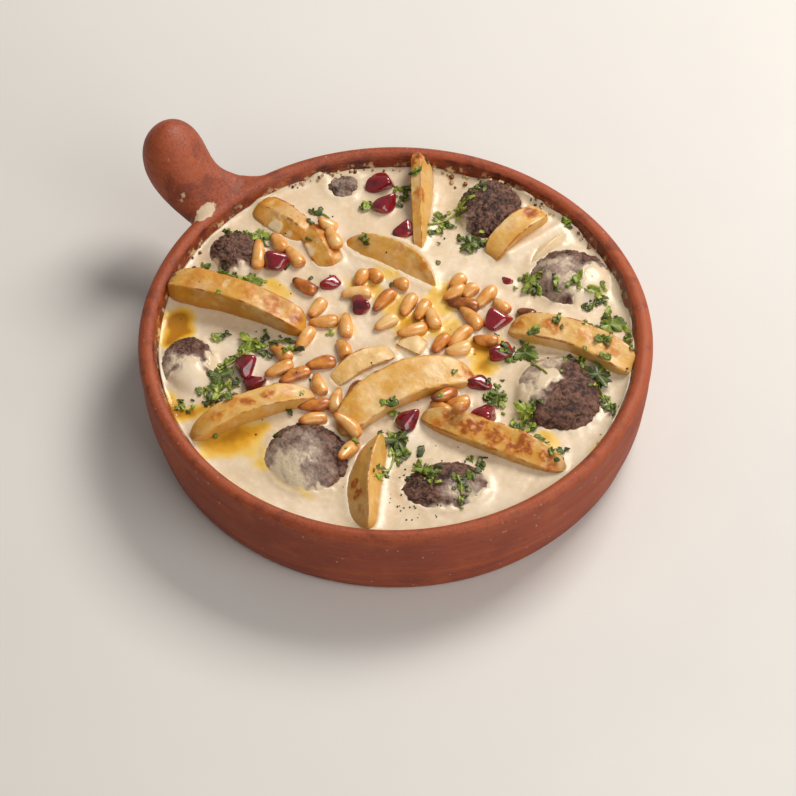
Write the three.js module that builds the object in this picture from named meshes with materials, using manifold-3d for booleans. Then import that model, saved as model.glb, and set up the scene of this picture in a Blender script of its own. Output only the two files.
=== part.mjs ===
// A round terracotta pan with a stub handle, full of meat fatteh: a cream-coloured sauce in which meatballs
// and fried potato wedges lie half sunk, topped with pomegranate arils, toasted pine nuts and parsley.
//
// Millimetres, +Z up. The origin is the middle of the pan's flat base and the handle points along -X.

import * as THREE from 'three';
import { ParametricGeometry } from 'three/addons/geometries/ParametricGeometry.js';
import { mergeVertices } from 'three/addons/utils/BufferGeometryUtils.js';
import Module from 'manifold-3d';

const wasm = await Module();
wasm.setup();

// ---- driving dimensions ---------------------------------------------------------------------------------

const RIM_RADIUS = 105;            // outside of the rim
const PAN_HEIGHT = 40;             // base to the top of the rim
const LIP_RADIUS = 3.7;            // the rim is half round, twice this thick
const BASE_RADIUS = 96;            // flat disc that the pan stands on
const FLOOR = 6;                   // thickness of the bottom
const PAN_SIDES = 44;

const HANDLE_END = 144;            // from the pan's axis to the tip of the handle
const HANDLE_BURY = 5;             // its root goes this deep into the wall
const HANDLE_ROOT = 29;            // height of its middle line at the wall
const ROOT_SKEW = 7;               // its root spreads to the +Y side
const KNOB_SKEW = 3;               // and so does its end
const KNOB_RADIUS = 14.9;
const KNOB_HEIGHT = 49;
const WAIST_RADIUS = 12.6;
const FLARE_REACH = 10;            // the root's flare dies out over this length
const FLARE_WIDTH = 5;             // wider there by this
const FLARE_DROP = 3.5;            // and flatter by this

const SAUCE_LEVEL = 33;
const GAP = 0.4;                   // clearance between neighbouring pieces

const MEATBALL_LUMPS = 0.06;       // how far a meatball's lumps rise, against its size
const WEDGE_BUMPS = 0.04;          // and how far a potato wedge's sides do
const WEDGE_CRISPNESS = 8;

const ARIL_SIZE = [5.2, 3.9, 3.6]; // half length, half width, half thickness
const ARIL_FACETS = 7;             // sides pressed flat by its neighbours
const ARIL_CRISPNESS = 5;
const NUT_WIDTH = 2.7;             // half width and half thickness of a pine nut
const NUT_THICKNESS = 2.2;
const NUT_SINK = 0.7;              // how far a pine nut settles into what it lies on
const LEAF_THICKNESS = 0.8;
const LEAF_WAVE = 0.12;            // how far a leaf waves up and down, against its size
const FLAKE_SIZE = 2.6;

// ---- where the pieces lie -------------------------------------------------------------------------------

// Meatballs: the middle, then half the width across the view, half the depth along it and half the height.
const VIEW_TURN = 44.5;            // heading of the first half width, in degrees
const MEATBALLS = [
  { at: [-82, -11, 28], size: [12.6, 13, 11.5] },
  { at: [-76, 47, 25], size: [11.5, 10.5, 10.5] },
  { at: [-21, 79, 30], size: [14.8, 17, 11] },
  { at: [27, 75, 29], size: [18, 16.5, 10] },
  { at: [66, 26, 29], size: [19.2, 21, 12] },
  { at: [65, -39, 29], size: [20, 14, 8.5] },
  { at: [15, -67, 29], size: [18.3, 19.5, 10.5] },
  { at: [-53, -66, 29], size: [13, 16, 10] },
];

// Potato wedges: the middle line's outer and inner end, how far it bows to its right and upwards, how blunt
// the ends are, and the faces of its section as an angle (0 to the right, 90 up) and a distance.
const WEDGES = [
  { from: [-94, 14, 33], to: [-65, 16, 32], bow: 0, rise: 0.5, blunt: 6,
    faces: [[75, 5.2], [0, 7], [180, 8], [270, 6]] },
  { from: [-70, 21, 33], to: [-47, 12, 31], bow: 0, rise: 0.5, blunt: 6,
    faces: [[85, 5], [0, 7.5], [180, 7.5], [270, 6]] },
  { from: [-87, -44, 38], to: [-31, -21, 34], bow: -3, rise: 2, blunt: 10,
    faces: [[92, 6], [0, 5.2], [190, 5.5], [270, 8]] },
  { from: [-25, -92, 33], to: [-4, -42, 33], bow: -3, rise: 3, blunt: 4,
    faces: [[95, 5.5], [0, 5], [190, 5], [270, 8]] },
  { from: [58, -76, 34], to: [29, -38, 33], bow: -3, rise: 1, blunt: 4,
    faces: [[140, 5], [25, 5], [270, 7]] },
  { from: [94, 0, 33], to: [34, -20, 34], bow: 1, rise: 1, blunt: 4,
    faces: [[105, 5], [185, 6.5], [15, 6], [270, 7]] },
  { from: [81, 57, 33], to: [28, 38, 33], bow: 4, rise: 3, blunt: 7,
    faces: [[97, 5], [180, 7], [10, 6.5], [270, 7]] },
  { from: [-3, 93, 34], to: [-3, 60, 31], bow: 2, rise: 2, blunt: 7,
    faces: [[90, 5], [0, 5.5], [180, 5], [270, 7]] },
  { from: [10, 95, 29], to: [11, 65, 28], bow: 0, rise: 1, blunt: 3,
    faces: [[50, 4.6], [130, 4.6], [270, 6]] },
  { from: [-61, 77, 41], to: [-27, 43, 31], bow: 0, rise: 0.5, blunt: 8,
    faces: [[65, 4], [150, 3.2], [0, 3.2], [270, 6]] },
  { from: [-53, 25, 33], to: [-8, 32, 31], bow: -7, rise: 2, blunt: 4,
    faces: [[60, 3.5], [145, 5.5], [270, 6]] },
  { from: [16, -49, 33], to: [35, 10, 33], bow: -7, rise: 2, blunt: 7,
    faces: [[82, 5], [0, 7], [180, 9.5], [270, 7]] },
  { from: [-4, -33, 31], to: [3, -3, 31], bow: -2, rise: 1, blunt: 6,
    faces: [[85, 4.3], [0, 4.5], [180, 4.5], [270, 6]] },
  { from: [-1, 3, 31], to: [12, 6, 31], bow: 0, rise: 0, blunt: 5,
    faces: [[90, 4.2], [0, 4.5], [180, 4.5], [270, 6]] },
];

// Pomegranate arils: x, y, heading in degrees, size against ARIL_SIZE, height of the middle over the sauce.
const ARILS = [
  [-65, 58, 60, 1.1, 1.6], [-55, 51, 80, 0.95, 1.5], [-39, 46, 60, 0.9, 0.5], [-65, -3, 70, 1.1, 1.6],
  [-42, 5, 75, 0.85, 0.2], [-25, 5, 150, 0.95, 1], [-35, -51, 130, 1.05, 2], [-26, -55, 60, 0.9, 1],
  [10, 56, 0, 0.5, -0.3], [22, 37, 60, 1.1, 1], [35, 26, 80, 0.95, 1.5], [39, 8, 30, 0.9, 0.6],
  [52, -3, 70, 1.05, 1.6], [32, -26, 100, 1, 1.5],
];

// Pine nuts from the lowest to the ones that lie on others: x, y, heading in degrees, length.
const NUTS = [
  [-73, -6, -47, 15], [-72, 5, -18, 11], [-62, 4, -13, 12], [-63, 25, 32, 9], [-56, 21, -20, 11],
  [-48, -4, 10, 12], [-34, 15, 112, 9], [-31, 20, -6, 8], [-30, 8, 46, 13], [-19, 13, 96, 13],
  [-20, 24, 31, 7], [-36, -9, 102, 11], [-13, -17, -28, 10], [-10, 5, 78, 11], [-10, 18, 109, 12],
  [-4, 20, 110, 11], [2, 20, -31, 12], [-30, -36, 0, 12], [-28, -24, 106, 13], [-14, -29, 59, 13],
  [-24, -43, 73, 13], [-17, -41, 73, 14], [-7, -37, -28, 11], [4, -38, -53, 13], [-1, -46, 52, 13],
  [18, -46, 7, 14], [4, -52, 61, 12], [26, -54, 103, 14], [6, -29, 93, 10], [-4, 41, 89, 9],
  [3, 41, 90, 8], [-1, 36, 86, 11], [10, 43, 96, 13], [6, 34, 35, 13], [18, 44, -5, 9],
  [29, 47, 1, 10], [14, 12, 99, 11], [26, 26, 36, 11], [21, 15, 64, 11], [37, -12, 6, 10],
  [46, -11, -6, 8], [40, -5, 56, 10], [-21, -7, -44, 13], [-29, -12, 50, 12], [1, 9, 67, 13],
  [13, 31, -13, 14], [17, 20, 96, 14], [34, -7, 84, 13],
];

// Parsley leaves: x, y, heading in degrees, size from the middle to the tip of a lobe.
const LEAVES = [
  [-81, 3, 20, 5], [-66, -18, 20, 5.5], [-39, -62, 70, 7], [-43, -40, 60, 5.5], [-14, 60, 20, 5.5],
  [18, 61, 45, 5.5], [57, 67, 45, 6.5], [42, 32, 10, 6], [72, 43, -15, 8], [64, 9, 60, 5.5],
  [49, 9, 60, 4.5], [36, -36, -20, 7], [54, -40, 0, 5],
];

// Chopped parsley that sticks to what it lies on: x, y, heading in degrees.
const FLAKES = [
  [-72, 29, 50], [-60, 46, 40], [-54, 65, 0], [-55, -47, 45], [-33, -69, 80], [33, 74, 30], [41, 75, 0],
  [62, 55, 60], [77, 3, 70], [23, -27, 20], [70, -34, 135], [-27, 61, 30], [46, -33, 15],
];

// ---- helpers --------------------------------------------------------------------------------------------

const TURN = Math.PI * 2;
const GOLDEN_TURN = 2.4;           // spreads directions evenly over a sphere
const UP = new THREE.Vector3(0, 0, 1);
const rad = THREE.MathUtils.degToRad;
const smooth = THREE.MathUtils.smoothstep;

// A repeatable random number between -1 and 1.
function jitter(seed) {
  const value = Math.sin(seed * 127.1 + 11.7) * 43758.5453;
  return (value - Math.floor(value)) * 2 - 1;
}

// Turns a closed three.js geometry into a solid that can be joined and cut.
function solid(geometry) {
  const bare = new THREE.BufferGeometry();
  bare.setAttribute('position', geometry.getAttribute('position'));
  bare.setIndex(geometry.getIndex());
  const merged = mergeVertices(bare, 1e-4);
  const index = merged.getIndex().array;
  const corners = [];
  for (let i = 0; i < index.length; i += 3) {
    const [a, b, c] = [index[i], index[i + 1], index[i + 2]];
    if (a !== b && b !== c && c !== a) corners.push(a, b, c);
  }
  return new wasm.Manifold(new wasm.Mesh({
    numProp: 3,
    vertProperties: new Float32Array(merged.getAttribute('position').array),
    triVerts: new Uint32Array(corners),
  }));
}

// The solid's faces as a three.js geometry.
function surface(body) {
  const { vertProperties, triVerts } = body.getMesh();
  const geometry = new THREE.BufferGeometry();
  geometry.setAttribute('position', new THREE.BufferAttribute(new Float32Array(vertProperties), 3));
  geometry.setIndex(new THREE.BufferAttribute(new Uint32Array(triVerts), 1));
  geometry.computeVertexNormals();
  return geometry;
}

// The same shape grown outwards by the clearance, to cut its neighbours with.
function grown(body) {
  const geometry = surface(body);
  const position = geometry.getAttribute('position');
  const normal = geometry.getAttribute('normal');
  const point = new THREE.Vector3();
  const outwards = new THREE.Vector3();
  for (let i = 0; i < position.count; i += 1) {
    point.fromBufferAttribute(position, i);
    outwards.fromBufferAttribute(normal, i);
    point.addScaledVector(outwards, GAP);
    position.setXYZ(i, point.x, point.y, point.z);
  }
  return solid(geometry);
}

// How far a rounded polyhedron reaches in one direction, from its faces as unit vectors and distances: the
// p-norm of the faces. A higher crispness gives flatter faces and sharper edges.
function facetedRadius(direction, faces, crispness) {
  let sum = 0;
  for (const [normal, distance] of faces) {
    sum += Math.max(0, normal.dot(direction) / distance) ** crispness;
  }
  return sum ** (-1 / crispness);
}

function lathe(points) {
  const profile = points.map(([radius, height]) => new THREE.Vector2(radius, height));
  return new THREE.LatheGeometry(profile, PAN_SIDES).rotateX(Math.PI / 2);
}

// ---- the pan --------------------------------------------------------------------------------------------

// Inside of the pan from the middle of its floor up to the rim, as radius and height. The inset keeps what
// lies in the pan clear of it.
function bowlProfile(inset) {
  return [
    [0, FLOOR + inset],
    [86 - inset, FLOOR + inset],
    [91 - inset, FLOOR + 2.5 + inset],
    [93.5 - inset, FLOOR + 8],
    [96 - inset, SAUCE_LEVEL],
    [RIM_RADIUS - 2 * LIP_RADIUS - inset, PAN_HEIGHT - LIP_RADIUS],
  ];
}

// The open space over the floor of the pan, up past anything that lies in it.
function panSpace(inset) {
  const top = PAN_HEIGHT * 2;
  const lip = [RIM_RADIUS - LIP_RADIUS, PAN_HEIGHT + inset];
  return solid(lathe([...bowlProfile(inset), lip, [RIM_RADIUS, top], [0, top]]));
}

function panBody() {
  const profile = [
    [0, 0],
    [BASE_RADIUS, 0],
    [99, 1.5],
    [102.4, 12],
    [104.1, 25],
    [103.5, 31.5],
  ];
  const lipSteps = 4;
  for (let step = 0; step <= lipSteps; step += 1) {
    const angle = (Math.PI * step) / lipSteps;
    profile.push([
      RIM_RADIUS - LIP_RADIUS + LIP_RADIUS * Math.cos(angle),
      PAN_HEIGHT - LIP_RADIUS + LIP_RADIUS * Math.sin(angle),
    ]);
  }
  profile.push(...bowlProfile(0).reverse().slice(1));
  return solid(lathe(profile));
}

// The handle: oval sections from inside the wall to the rounded end. It is wide and low where it grows out
// of the rim, narrows to the waist and swells to the knob.
function handleBody() {
  const root = RIM_RADIUS - LIP_RADIUS;
  const length = HANDLE_END - root;
  const neck = length - KNOB_RADIUS;
  const place = (u, v, target) => {
    const along = (length + HANDLE_BURY) * Math.sin((v * Math.PI) / 2) - HANDLE_BURY;
    const reach = Math.max(along, 0);
    const flare = Math.exp(-((reach / FLARE_REACH) ** 2));
    const cap = Math.sqrt(1 - Math.max(0, (reach - neck) / KNOB_RADIUS) ** 2) * Math.sign(v);
    const round = WAIST_RADIUS + (KNOB_RADIUS - WAIST_RADIUS) * smooth(reach, FLARE_REACH, neck);
    const wide = (round + FLARE_WIDTH * flare) * cap;
    const high = (round - FLARE_DROP * flare) * cap;
    const sideways = KNOB_SKEW * smooth(reach, FLARE_REACH, length) + ROOT_SKEW * flare;
    const middle = HANDLE_ROOT + (KNOB_HEIGHT - HANDLE_ROOT) * smooth(reach, -FLARE_REACH, length);
    const angle = u * TURN;
    target.set(-root - along, sideways - wide * Math.cos(angle), middle + high * Math.sin(angle));
  };
  return solid(new ParametricGeometry(place, 13, 9));
}

// ---- the pieces in the pan ------------------------------------------------------------------------------

function sauceHeight(x, y) {
  return SAUCE_LEVEL + 0.35 * Math.sin(x / 11 + 1) * Math.cos(y / 13) + 0.25 * Math.sin((x - y) / 17);
}

function sauceBody() {
  const profile = bowlProfile(GAP).slice(0, -1);
  const [edge] = profile.at(-1);
  const rings = 5;
  for (let ring = 1; ring <= rings; ring += 1) {
    profile.push([(edge * (rings - ring)) / rings, SAUCE_LEVEL]);
  }
  const geometry = lathe(profile);
  const position = geometry.getAttribute('position');
  for (let i = 0; i < position.count; i += 1) {
    if (Math.abs(position.getZ(i) - SAUCE_LEVEL) < 0.01) {
      position.setZ(i, sauceHeight(position.getX(i), position.getY(i)));
    }
  }
  return solid(geometry);
}

// A lumpy ball, pressed out of round.
function meatballBody({ at, size }, seed) {
  const geometry = new THREE.SphereGeometry(1, 10, 7);
  const position = geometry.getAttribute('position');
  const point = new THREE.Vector3();
  for (let i = 0; i < position.count; i += 1) {
    point.fromBufferAttribute(position, i);
    const across = Math.sin(point.x * 3 + seed * 2) * Math.sin(point.y * 4 + seed);
    point.multiplyScalar(1 + MEATBALL_LUMPS * across * Math.cos(point.z * 2 + seed));
    position.setXYZ(i, point.x, point.y, point.z);
  }
  geometry.rotateX(Math.PI / 2);
  geometry.scale(...size);
  geometry.rotateZ(rad(VIEW_TURN));
  geometry.translate(...at);
  return solid(geometry);
}

// A section with flat faces and rounded edges is carried along a bowed line and shrinks to both ends.
function wedgeBody({ from, to, bow, rise, blunt, faces }, seed) {
  const start = new THREE.Vector3(...from);
  const along = new THREE.Vector3(...to).sub(start);
  const right = new THREE.Vector3().crossVectors(along, UP).normalize();
  const up = new THREE.Vector3().crossVectors(right, along).normalize();
  const sides = faces.map(([angle, distance]) => [
    new THREE.Vector3(Math.cos(rad(angle)), Math.sin(rad(angle)), 0),
    distance,
  ]);
  const direction = new THREE.Vector3();
  const place = (u, v, target) => {
    const angle = -u * TURN;
    const way = 0.5 - 0.5 * Math.cos(Math.PI * v);
    const arch = Math.sin(Math.PI * way);
    const taper = (1 - Math.abs(2 * way - 1) ** blunt) ** 0.5;
    direction.set(Math.cos(angle), Math.sin(angle), 0);
    const uneven = 1 + WEDGE_BUMPS * Math.sin(angle * 2 + way * 7 + seed);
    const radius = facetedRadius(direction, sides, WEDGE_CRISPNESS) * taper * uneven;
    target.copy(start).addScaledVector(along, way);
    target.addScaledVector(right, bow * arch + radius * direction.x);
    target.addScaledVector(up, rise * arch + radius * direction.y);
  };
  return solid(new ParametricGeometry(place, 9, 6));
}

// A plump seed pressed flat by its neighbours on a few sides.
function arilBody([x, y, heading, size, lift], seed) {
  const faces = [];
  for (let side = 0; side < ARIL_FACETS; side += 1) {
    const level = 1 - (2 * side + 1) / ARIL_FACETS;
    const turn = side * GOLDEN_TURN + seed;
    const ring = Math.sqrt(1 - level * level);
    const normal = new THREE.Vector3(ring * Math.cos(turn), ring * Math.sin(turn), level);
    faces.push([normal, 0.9 + 0.08 * jitter(seed * ARIL_FACETS + side)]);
  }
  const direction = new THREE.Vector3();
  const place = (u, v, target) => {
    direction.setFromSphericalCoords(1, v * Math.PI, -u * TURN);
    target.copy(direction).multiplyScalar(facetedRadius(direction, faces, ARIL_CRISPNESS));
  };
  const geometry = new ParametricGeometry(place, 7, 4);
  geometry.rotateZ(Math.PI / 2);
  geometry.scale(...ARIL_SIZE.map((half) => half * size));
  geometry.rotateZ(rad(heading));
  geometry.translate(x, y, sauceHeight(x, y) + lift);
  return solid(geometry);
}

// A pine nut about its own middle, narrower at the -X end.
function nutGeometry(length) {
  const place = (u, v, target) => {
    const girth = Math.sin(Math.PI * v) ** 0.6 * (1.05 - 0.3 * Math.cos(Math.PI * v));
    const angle = u * TURN;
    target.set(
      (-length / 2) * Math.cos(Math.PI * v),
      NUT_WIDTH * girth * Math.cos(angle),
      NUT_THICKNESS * girth * Math.sin(angle),
    );
  };
  return new ParametricGeometry(place, 5, 3);
}

// A thin wavy leaf with a lobed outline about its own middle. Both faces are split alike.
function leafGeometry(size, lobes, corners, seed) {
  const place = (u, v, target) => {
    const angle = -u * TURN;
    const edge = v > 0.2 && v < 0.8 ? 1 : 0;
    const lobe = 0.66 + 0.34 * Math.cos(angle * lobes);
    const reach = size * edge * lobe * (1 + 0.15 * jitter(seed + Math.round((u % 1) * corners)));
    const wave = LEAF_WAVE * size * Math.sin(angle * 2 + seed) * edge;
    const skin = v < 0.5 ? 0.5 : -0.5;
    target.set(reach * Math.cos(angle), reach * Math.sin(angle), wave + skin * LEAF_THICKNESS);
  };
  return new ParametricGeometry(place, corners, 3);
}

// ---- laying the pieces ----------------------------------------------------------------------------------

const CLAY = { color: 0xa5502f, roughness: 0.75, metalness: 0 };
const SAUCE = { color: 0xe8d4b2, roughness: 0.35, metalness: 0 };
const MEAT = { color: 0x5f4b44, roughness: 0.7, metalness: 0 };
const POTATO = { color: 0xcf9a4e, roughness: 0.5, metalness: 0 };
const POMEGRANATE = { color: 0x7d0f1c, roughness: 0.2, metalness: 0 };
const PARSLEY = { color: 0x3f6a22, roughness: 0.6, metalness: 0 };

const nodes = new Map();
const pile = new THREE.Group();
const ray = new THREE.Raycaster();

// The highest point of the pile at x, y and the node that it belongs to.
function topAt(x, y) {
  ray.set(new THREE.Vector3(x, y, PAN_HEIGHT * 2), new THREE.Vector3(0, 0, -1));
  const [hit] = ray.intersectObjects(pile.children);
  return { height: hit.point.z, name: hit.object.name };
}

function lay(name, body) {
  const mesh = new THREE.Mesh(surface(body));
  mesh.name = name;
  pile.add(mesh);
}

// Every other node gives way to the new piece by the clearance.
function makeRoom(name, body) {
  const cutter = grown(body);
  for (const [other, node] of nodes) {
    if (other !== name) node.body = node.body.subtract(cutter);
  }
}

function add(name, body, look) {
  makeRoom(name, body);
  nodes.set(name, { body, look });
  lay(name, body);
}

// A small topping becomes one piece with what lies under its middle.
function fuse(body, x, y) {
  const { name } = topAt(x, y);
  makeRoom(name, body);
  nodes.get(name).body = nodes.get(name).body.add(body);
  lay(name, body);
}

// Lays a nut on whatever is under its two ends, never lower than what is under its middle.
function fuseNut([x, y, heading, length]) {
  const turn = rad(heading);
  const reach = length * 0.3;
  const head = topAt(x + reach * Math.cos(turn), y + reach * Math.sin(turn)).height;
  const tail = topAt(x - reach * Math.cos(turn), y - reach * Math.sin(turn)).height;
  const middle = Math.max((head + tail) / 2, topAt(x, y).height);
  const geometry = nutGeometry(length);
  geometry.rotateY(-Math.atan2(head - tail, 2 * reach));
  geometry.rotateZ(turn);
  geometry.translate(x, y, middle + NUT_THICKNESS - NUT_SINK);
  fuse(solid(geometry), x, y);
}

function fuseFlake([x, y, heading], seed) {
  const geometry = leafGeometry(FLAKE_SIZE, 1, 5, seed);
  geometry.rotateZ(rad(heading));
  geometry.translate(x, y, topAt(x, y).height + LEAF_THICKNESS / 4);
  fuse(solid(geometry), x, y);
}

// Lays a leaf over what is under its middle and its four sides, tilted along with it.
function addLeaf([x, y, heading, size], index) {
  const reach = size * 0.6;
  const [east, west] = [topAt(x + reach, y).height, topAt(x - reach, y).height];
  const [north, south] = [topAt(x, y + reach).height, topAt(x, y - reach).height];
  const height = Math.max((east + west) / 2, (north + south) / 2, topAt(x, y).height);
  const geometry = leafGeometry(size, 3, 12, index);
  geometry.rotateZ(rad(heading));
  geometry.rotateX(Math.atan2(north - south, 2 * reach));
  geometry.rotateY(-Math.atan2(east - west, 2 * reach));
  geometry.translate(x, y, height + LEAF_WAVE * size + LEAF_THICKNESS / 2 + GAP);
  add(`parsley_${index + 1}`, solid(geometry), PARSLEY);
}

add('sauce', sauceBody(), SAUCE);
MEATBALLS.forEach((row, i) => add(`meatball_${i + 1}`, meatballBody(row, i), MEAT));
WEDGES.forEach((row, i) => add(`potato_${i + 1}`, wedgeBody(row, i), POTATO));
ARILS.forEach((row, i) => add(`aril_${i + 1}`, arilBody(row, i), POMEGRANATE));
NUTS.forEach(fuseNut);
FLAKES.forEach(fuseFlake);
LEAVES.forEach(addLeaf);

const inside = panSpace(GAP);
for (const node of nodes.values()) node.body = node.body.intersect(inside);
nodes.set('pan', { body: panBody().add(handleBody().subtract(panSpace(0))), look: CLAY });

// ---- the model ------------------------------------------------------------------------------------------

const dish = new THREE.Group();
for (const [name, { body, look }] of nodes) {
  const [largest] = body.decompose().sort((a, b) => b.volume() - a.volume());
  const mesh = new THREE.Mesh(surface(largest), new THREE.MeshStandardMaterial(look));
  mesh.name = name;
  dish.add(mesh);
}

export default dish;
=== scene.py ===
# %% [markdown]
# # A terracotta pan of meat fatteh
#
# Fatteh is a warm dish from the eastern Mediterranean. Here a shallow pan of fired clay holds a
# cream-coloured sauce of yoghurt and sesame. Meatballs and fried potato wedges lie half sunk in it, and
# pomegranate arils, toasted pine nuts and chopped parsley are strewn over the top. Each of them is made
# below as a surface worked out with numpy, in millimetres, and becomes a Blender mesh in metres.

import itertools
import math

import bpy
import numpy as np
from mathutils import Matrix, Vector
from mathutils.bvhtree import BVHTree


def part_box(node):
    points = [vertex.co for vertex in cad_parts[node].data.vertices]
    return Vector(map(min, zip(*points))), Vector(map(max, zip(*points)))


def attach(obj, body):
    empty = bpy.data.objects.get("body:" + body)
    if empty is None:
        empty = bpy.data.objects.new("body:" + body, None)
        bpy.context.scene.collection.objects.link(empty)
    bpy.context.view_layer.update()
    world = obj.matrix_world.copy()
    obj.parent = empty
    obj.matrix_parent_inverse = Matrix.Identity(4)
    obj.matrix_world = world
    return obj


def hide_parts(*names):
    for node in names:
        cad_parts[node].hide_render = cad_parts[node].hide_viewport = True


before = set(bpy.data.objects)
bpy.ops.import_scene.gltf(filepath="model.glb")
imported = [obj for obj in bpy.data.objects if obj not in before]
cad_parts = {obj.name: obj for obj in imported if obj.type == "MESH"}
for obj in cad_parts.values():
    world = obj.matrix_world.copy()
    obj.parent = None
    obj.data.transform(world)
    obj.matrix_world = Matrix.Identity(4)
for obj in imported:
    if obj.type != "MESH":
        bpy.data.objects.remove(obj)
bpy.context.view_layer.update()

# %% [markdown]
# ## Sizes
#
# The pan's rim and the end of its handle are read from the solids, so that the looks can't drift away from
# them. The other sizes are those of the real pan: a wall about eight millimetres thick under a rounded lip.

# %% Driving sizes, in millimetres
MM = 0.001
TURN = 2 * math.pi
VIEW_TURN = 44.5

pan_low, pan_high = (np.array(corner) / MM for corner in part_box("pan"))
RIM_RADIUS = pan_high[1]
HANDLE_END = -pan_low[0]
PAN_HEIGHT = 40
LIP_RADIUS = 3.7
LIP_MIDDLE = RIM_RADIUS - LIP_RADIUS
FLOOR_HEIGHT = 6
SAUCE_LEVEL = 33
CLEARANCE = 0.4
print("rim radius:", RIM_RADIUS, "handle end:", HANDLE_END)

# %% [markdown]
# ## Helpers for shapes
#
# Every piece here is one closed skin: rings of points, each ring joined to the next, and a fan of triangles
# that shuts each end. A lathe-turned pan, a potato wedge and a pine nut all fit this one pattern, so a
# single function can make them all. The columns run anticlockwise seen from the end point, which makes
# every face look outwards.


# %% A closed skin from rings of points
def net(rows, columns):
    """The faces of a closed skin: quads between neighbouring rings, then a fan of triangles on each end
    point."""
    index = np.arange(rows * columns).reshape(rows, columns)
    beside = np.roll(index, -1, axis=1)
    first = np.full(columns, rows * columns)
    quads = np.stack([index[:-1], beside[:-1], beside[1:], index[1:]], -1).reshape(-1, 4)
    bottom = np.stack([first, beside[0], index[0]], -1)
    top = np.stack([first + 1, index[-1], beside[-1]], -1)
    return quads, np.vstack([bottom, top])


def ends_of(rings):
    """The points that shut a body: the middles of its first and its last ring."""
    return rings[..., 0, :, :].mean(-2), rings[..., -1, :, :].mean(-2)


def skin(name, rings, ends=None, **paint):
    """A mesh of one body, rings (rows, columns, 3), or of many alike, rings (copies, rows, columns, 3), in
    millimetres. Each further keyword is a number for every ring point, kept for the material to read."""
    rings = rings.reshape(-1, *rings.shape[-3:])
    copies, rows, columns, _ = rings.shape
    tips = [np.broadcast_to(point, (copies, 3)) for point in ends or ends_of(rings)]
    points = np.concatenate([rings.reshape(copies, -1, 3), np.stack(tips, 1)], 1).reshape(-1, 3)
    shift = np.arange(copies)[:, None, None] * (rows * columns + 2)
    quads, fans = (faces + shift for faces in net(rows, columns))
    mesh = bpy.data.meshes.new(name)
    mesh.from_pydata((points * MM).tolist(), [], quads.reshape(-1, 4).tolist() + fans.reshape(-1, 3).tolist())
    mesh.shade_smooth()
    for label, values in paint.items():
        values = np.broadcast_to(values, (copies, rows, columns))
        tips = np.stack([values[:, 0].mean(-1), values[:, -1].mean(-1)], -1)
        values = np.concatenate([values.reshape(copies, -1), tips], 1).astype(np.float32)
        mesh.attributes.new(label, "FLOAT", "POINT").data.foreach_set("value", values.reshape(-1))
    piece = bpy.data.objects.new(name, mesh)
    bpy.context.scene.collection.objects.link(piece)
    return piece


def dress(piece, material, slot, *nodes):
    """Gives a finished piece its material, parents it to the root, and hides the solids that it stands for.
    """
    piece.data.materials.clear()
    piece.data.materials.append(material)
    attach(piece, "root")
    if nodes:
        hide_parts(*nodes)
    return piece


def dress_all(pieces, material, slot, node):
    """Dresses numbered pieces, each of which stands for the solid of its own number."""
    for number, piece in enumerate(pieces, 1):
        dress(piece, material, slot, f"{node}_{number}")


# %% [markdown]
# ## Uneven surfaces
#
# Food and hand-thrown clay are never smooth. Two kinds of noise give their unevenness: one that rolls
# softly, for dents and swells, and one of rounded lumps with creases between them, for minced meat. Both
# are worked out from a repeatable random number for each cell of a lattice, so the dish comes out the same
# each time.


# %% Noise for shapes
CELL_STEPS = np.array([127.1, 311.7, 74.7])
SEED_STEP = 53.3
SINE_SIZE = 43758.5453


def cell_value(cells, seed):
    """A repeatable random number from 0 to 1 for each lattice cell: the fraction left over from a large
    sine."""
    value = np.sin(cells @ CELL_STEPS + seed * SEED_STEP) * SINE_SIZE
    return value - np.floor(value)


def noise(points, seed=0):
    """Soft noise from -1 to 1: the random values of the eight corners of each point's cell, blended by the
    point's place in the cell, eased by 3 t squared minus 2 t cubed along every axis."""
    cells = np.floor(points)
    part = points - cells
    ease = part * part * (3 - 2 * part)
    total = np.zeros(points.shape[:-1])
    for corner in itertools.product((0, 1), repeat=3):
        weight = np.prod(np.where(corner, ease, 1 - ease), axis=-1)
        total += weight * cell_value(cells + np.array(corner), seed)
    return total * 2 - 1


def rough(points, seed=0, octaves=3):
    """Soft noise at several sizes: each octave is twice as fine and half as strong as the one before."""
    return sum(noise(points * 2**i, seed + i * 7) / 2**i for i in range(octaves))


def lumps(points, seed=0):
    """Rounded lumps, 1 at their tops and 0 in the creases: one random centre in each cell, and the distance
    to the nearest of them turned upside down."""
    cells = np.floor(points)
    nearest = np.full(points.shape[:-1], 2.0)
    for offset in itertools.product((-1, 0, 1), repeat=3):
        home = cells + np.array(offset)
        middle = home + np.stack([cell_value(home, seed + axis * 11) for axis in range(3)], -1)
        nearest = np.minimum(nearest, np.linalg.norm(points - middle, axis=-1))
    return 1 - np.clip(nearest, 0, 1)


def smooth(value, low, high):
    """0 below low, 1 above high, and an eased step between them."""
    part = np.clip((value - low) / (high - low), 0, 1)
    return part * part * (3 - 2 * part)


def directions(columns):
    """Unit vectors once round, anticlockwise, as two arrays: across and up."""
    angle = np.linspace(0, TURN, columns, endpoint=False)
    return np.cos(angle), np.sin(angle)


def ball_directions(rows, columns):
    """Unit vectors in rings, from straight down to straight up."""
    tilt = np.linspace(0, math.pi, rows + 2)[1:-1, None]
    across, up = directions(columns)
    return np.stack([np.sin(tilt) * across, np.sin(tilt) * up, -np.cos(tilt) + 0 * across], -1)


def turned(points, degrees):
    """Points turned about the vertical axis."""
    c, s = math.cos(math.radians(degrees)), math.sin(math.radians(degrees))
    return points @ np.array([[c, s, 0], [-s, c, 0], [0, 0, 1]])


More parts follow.
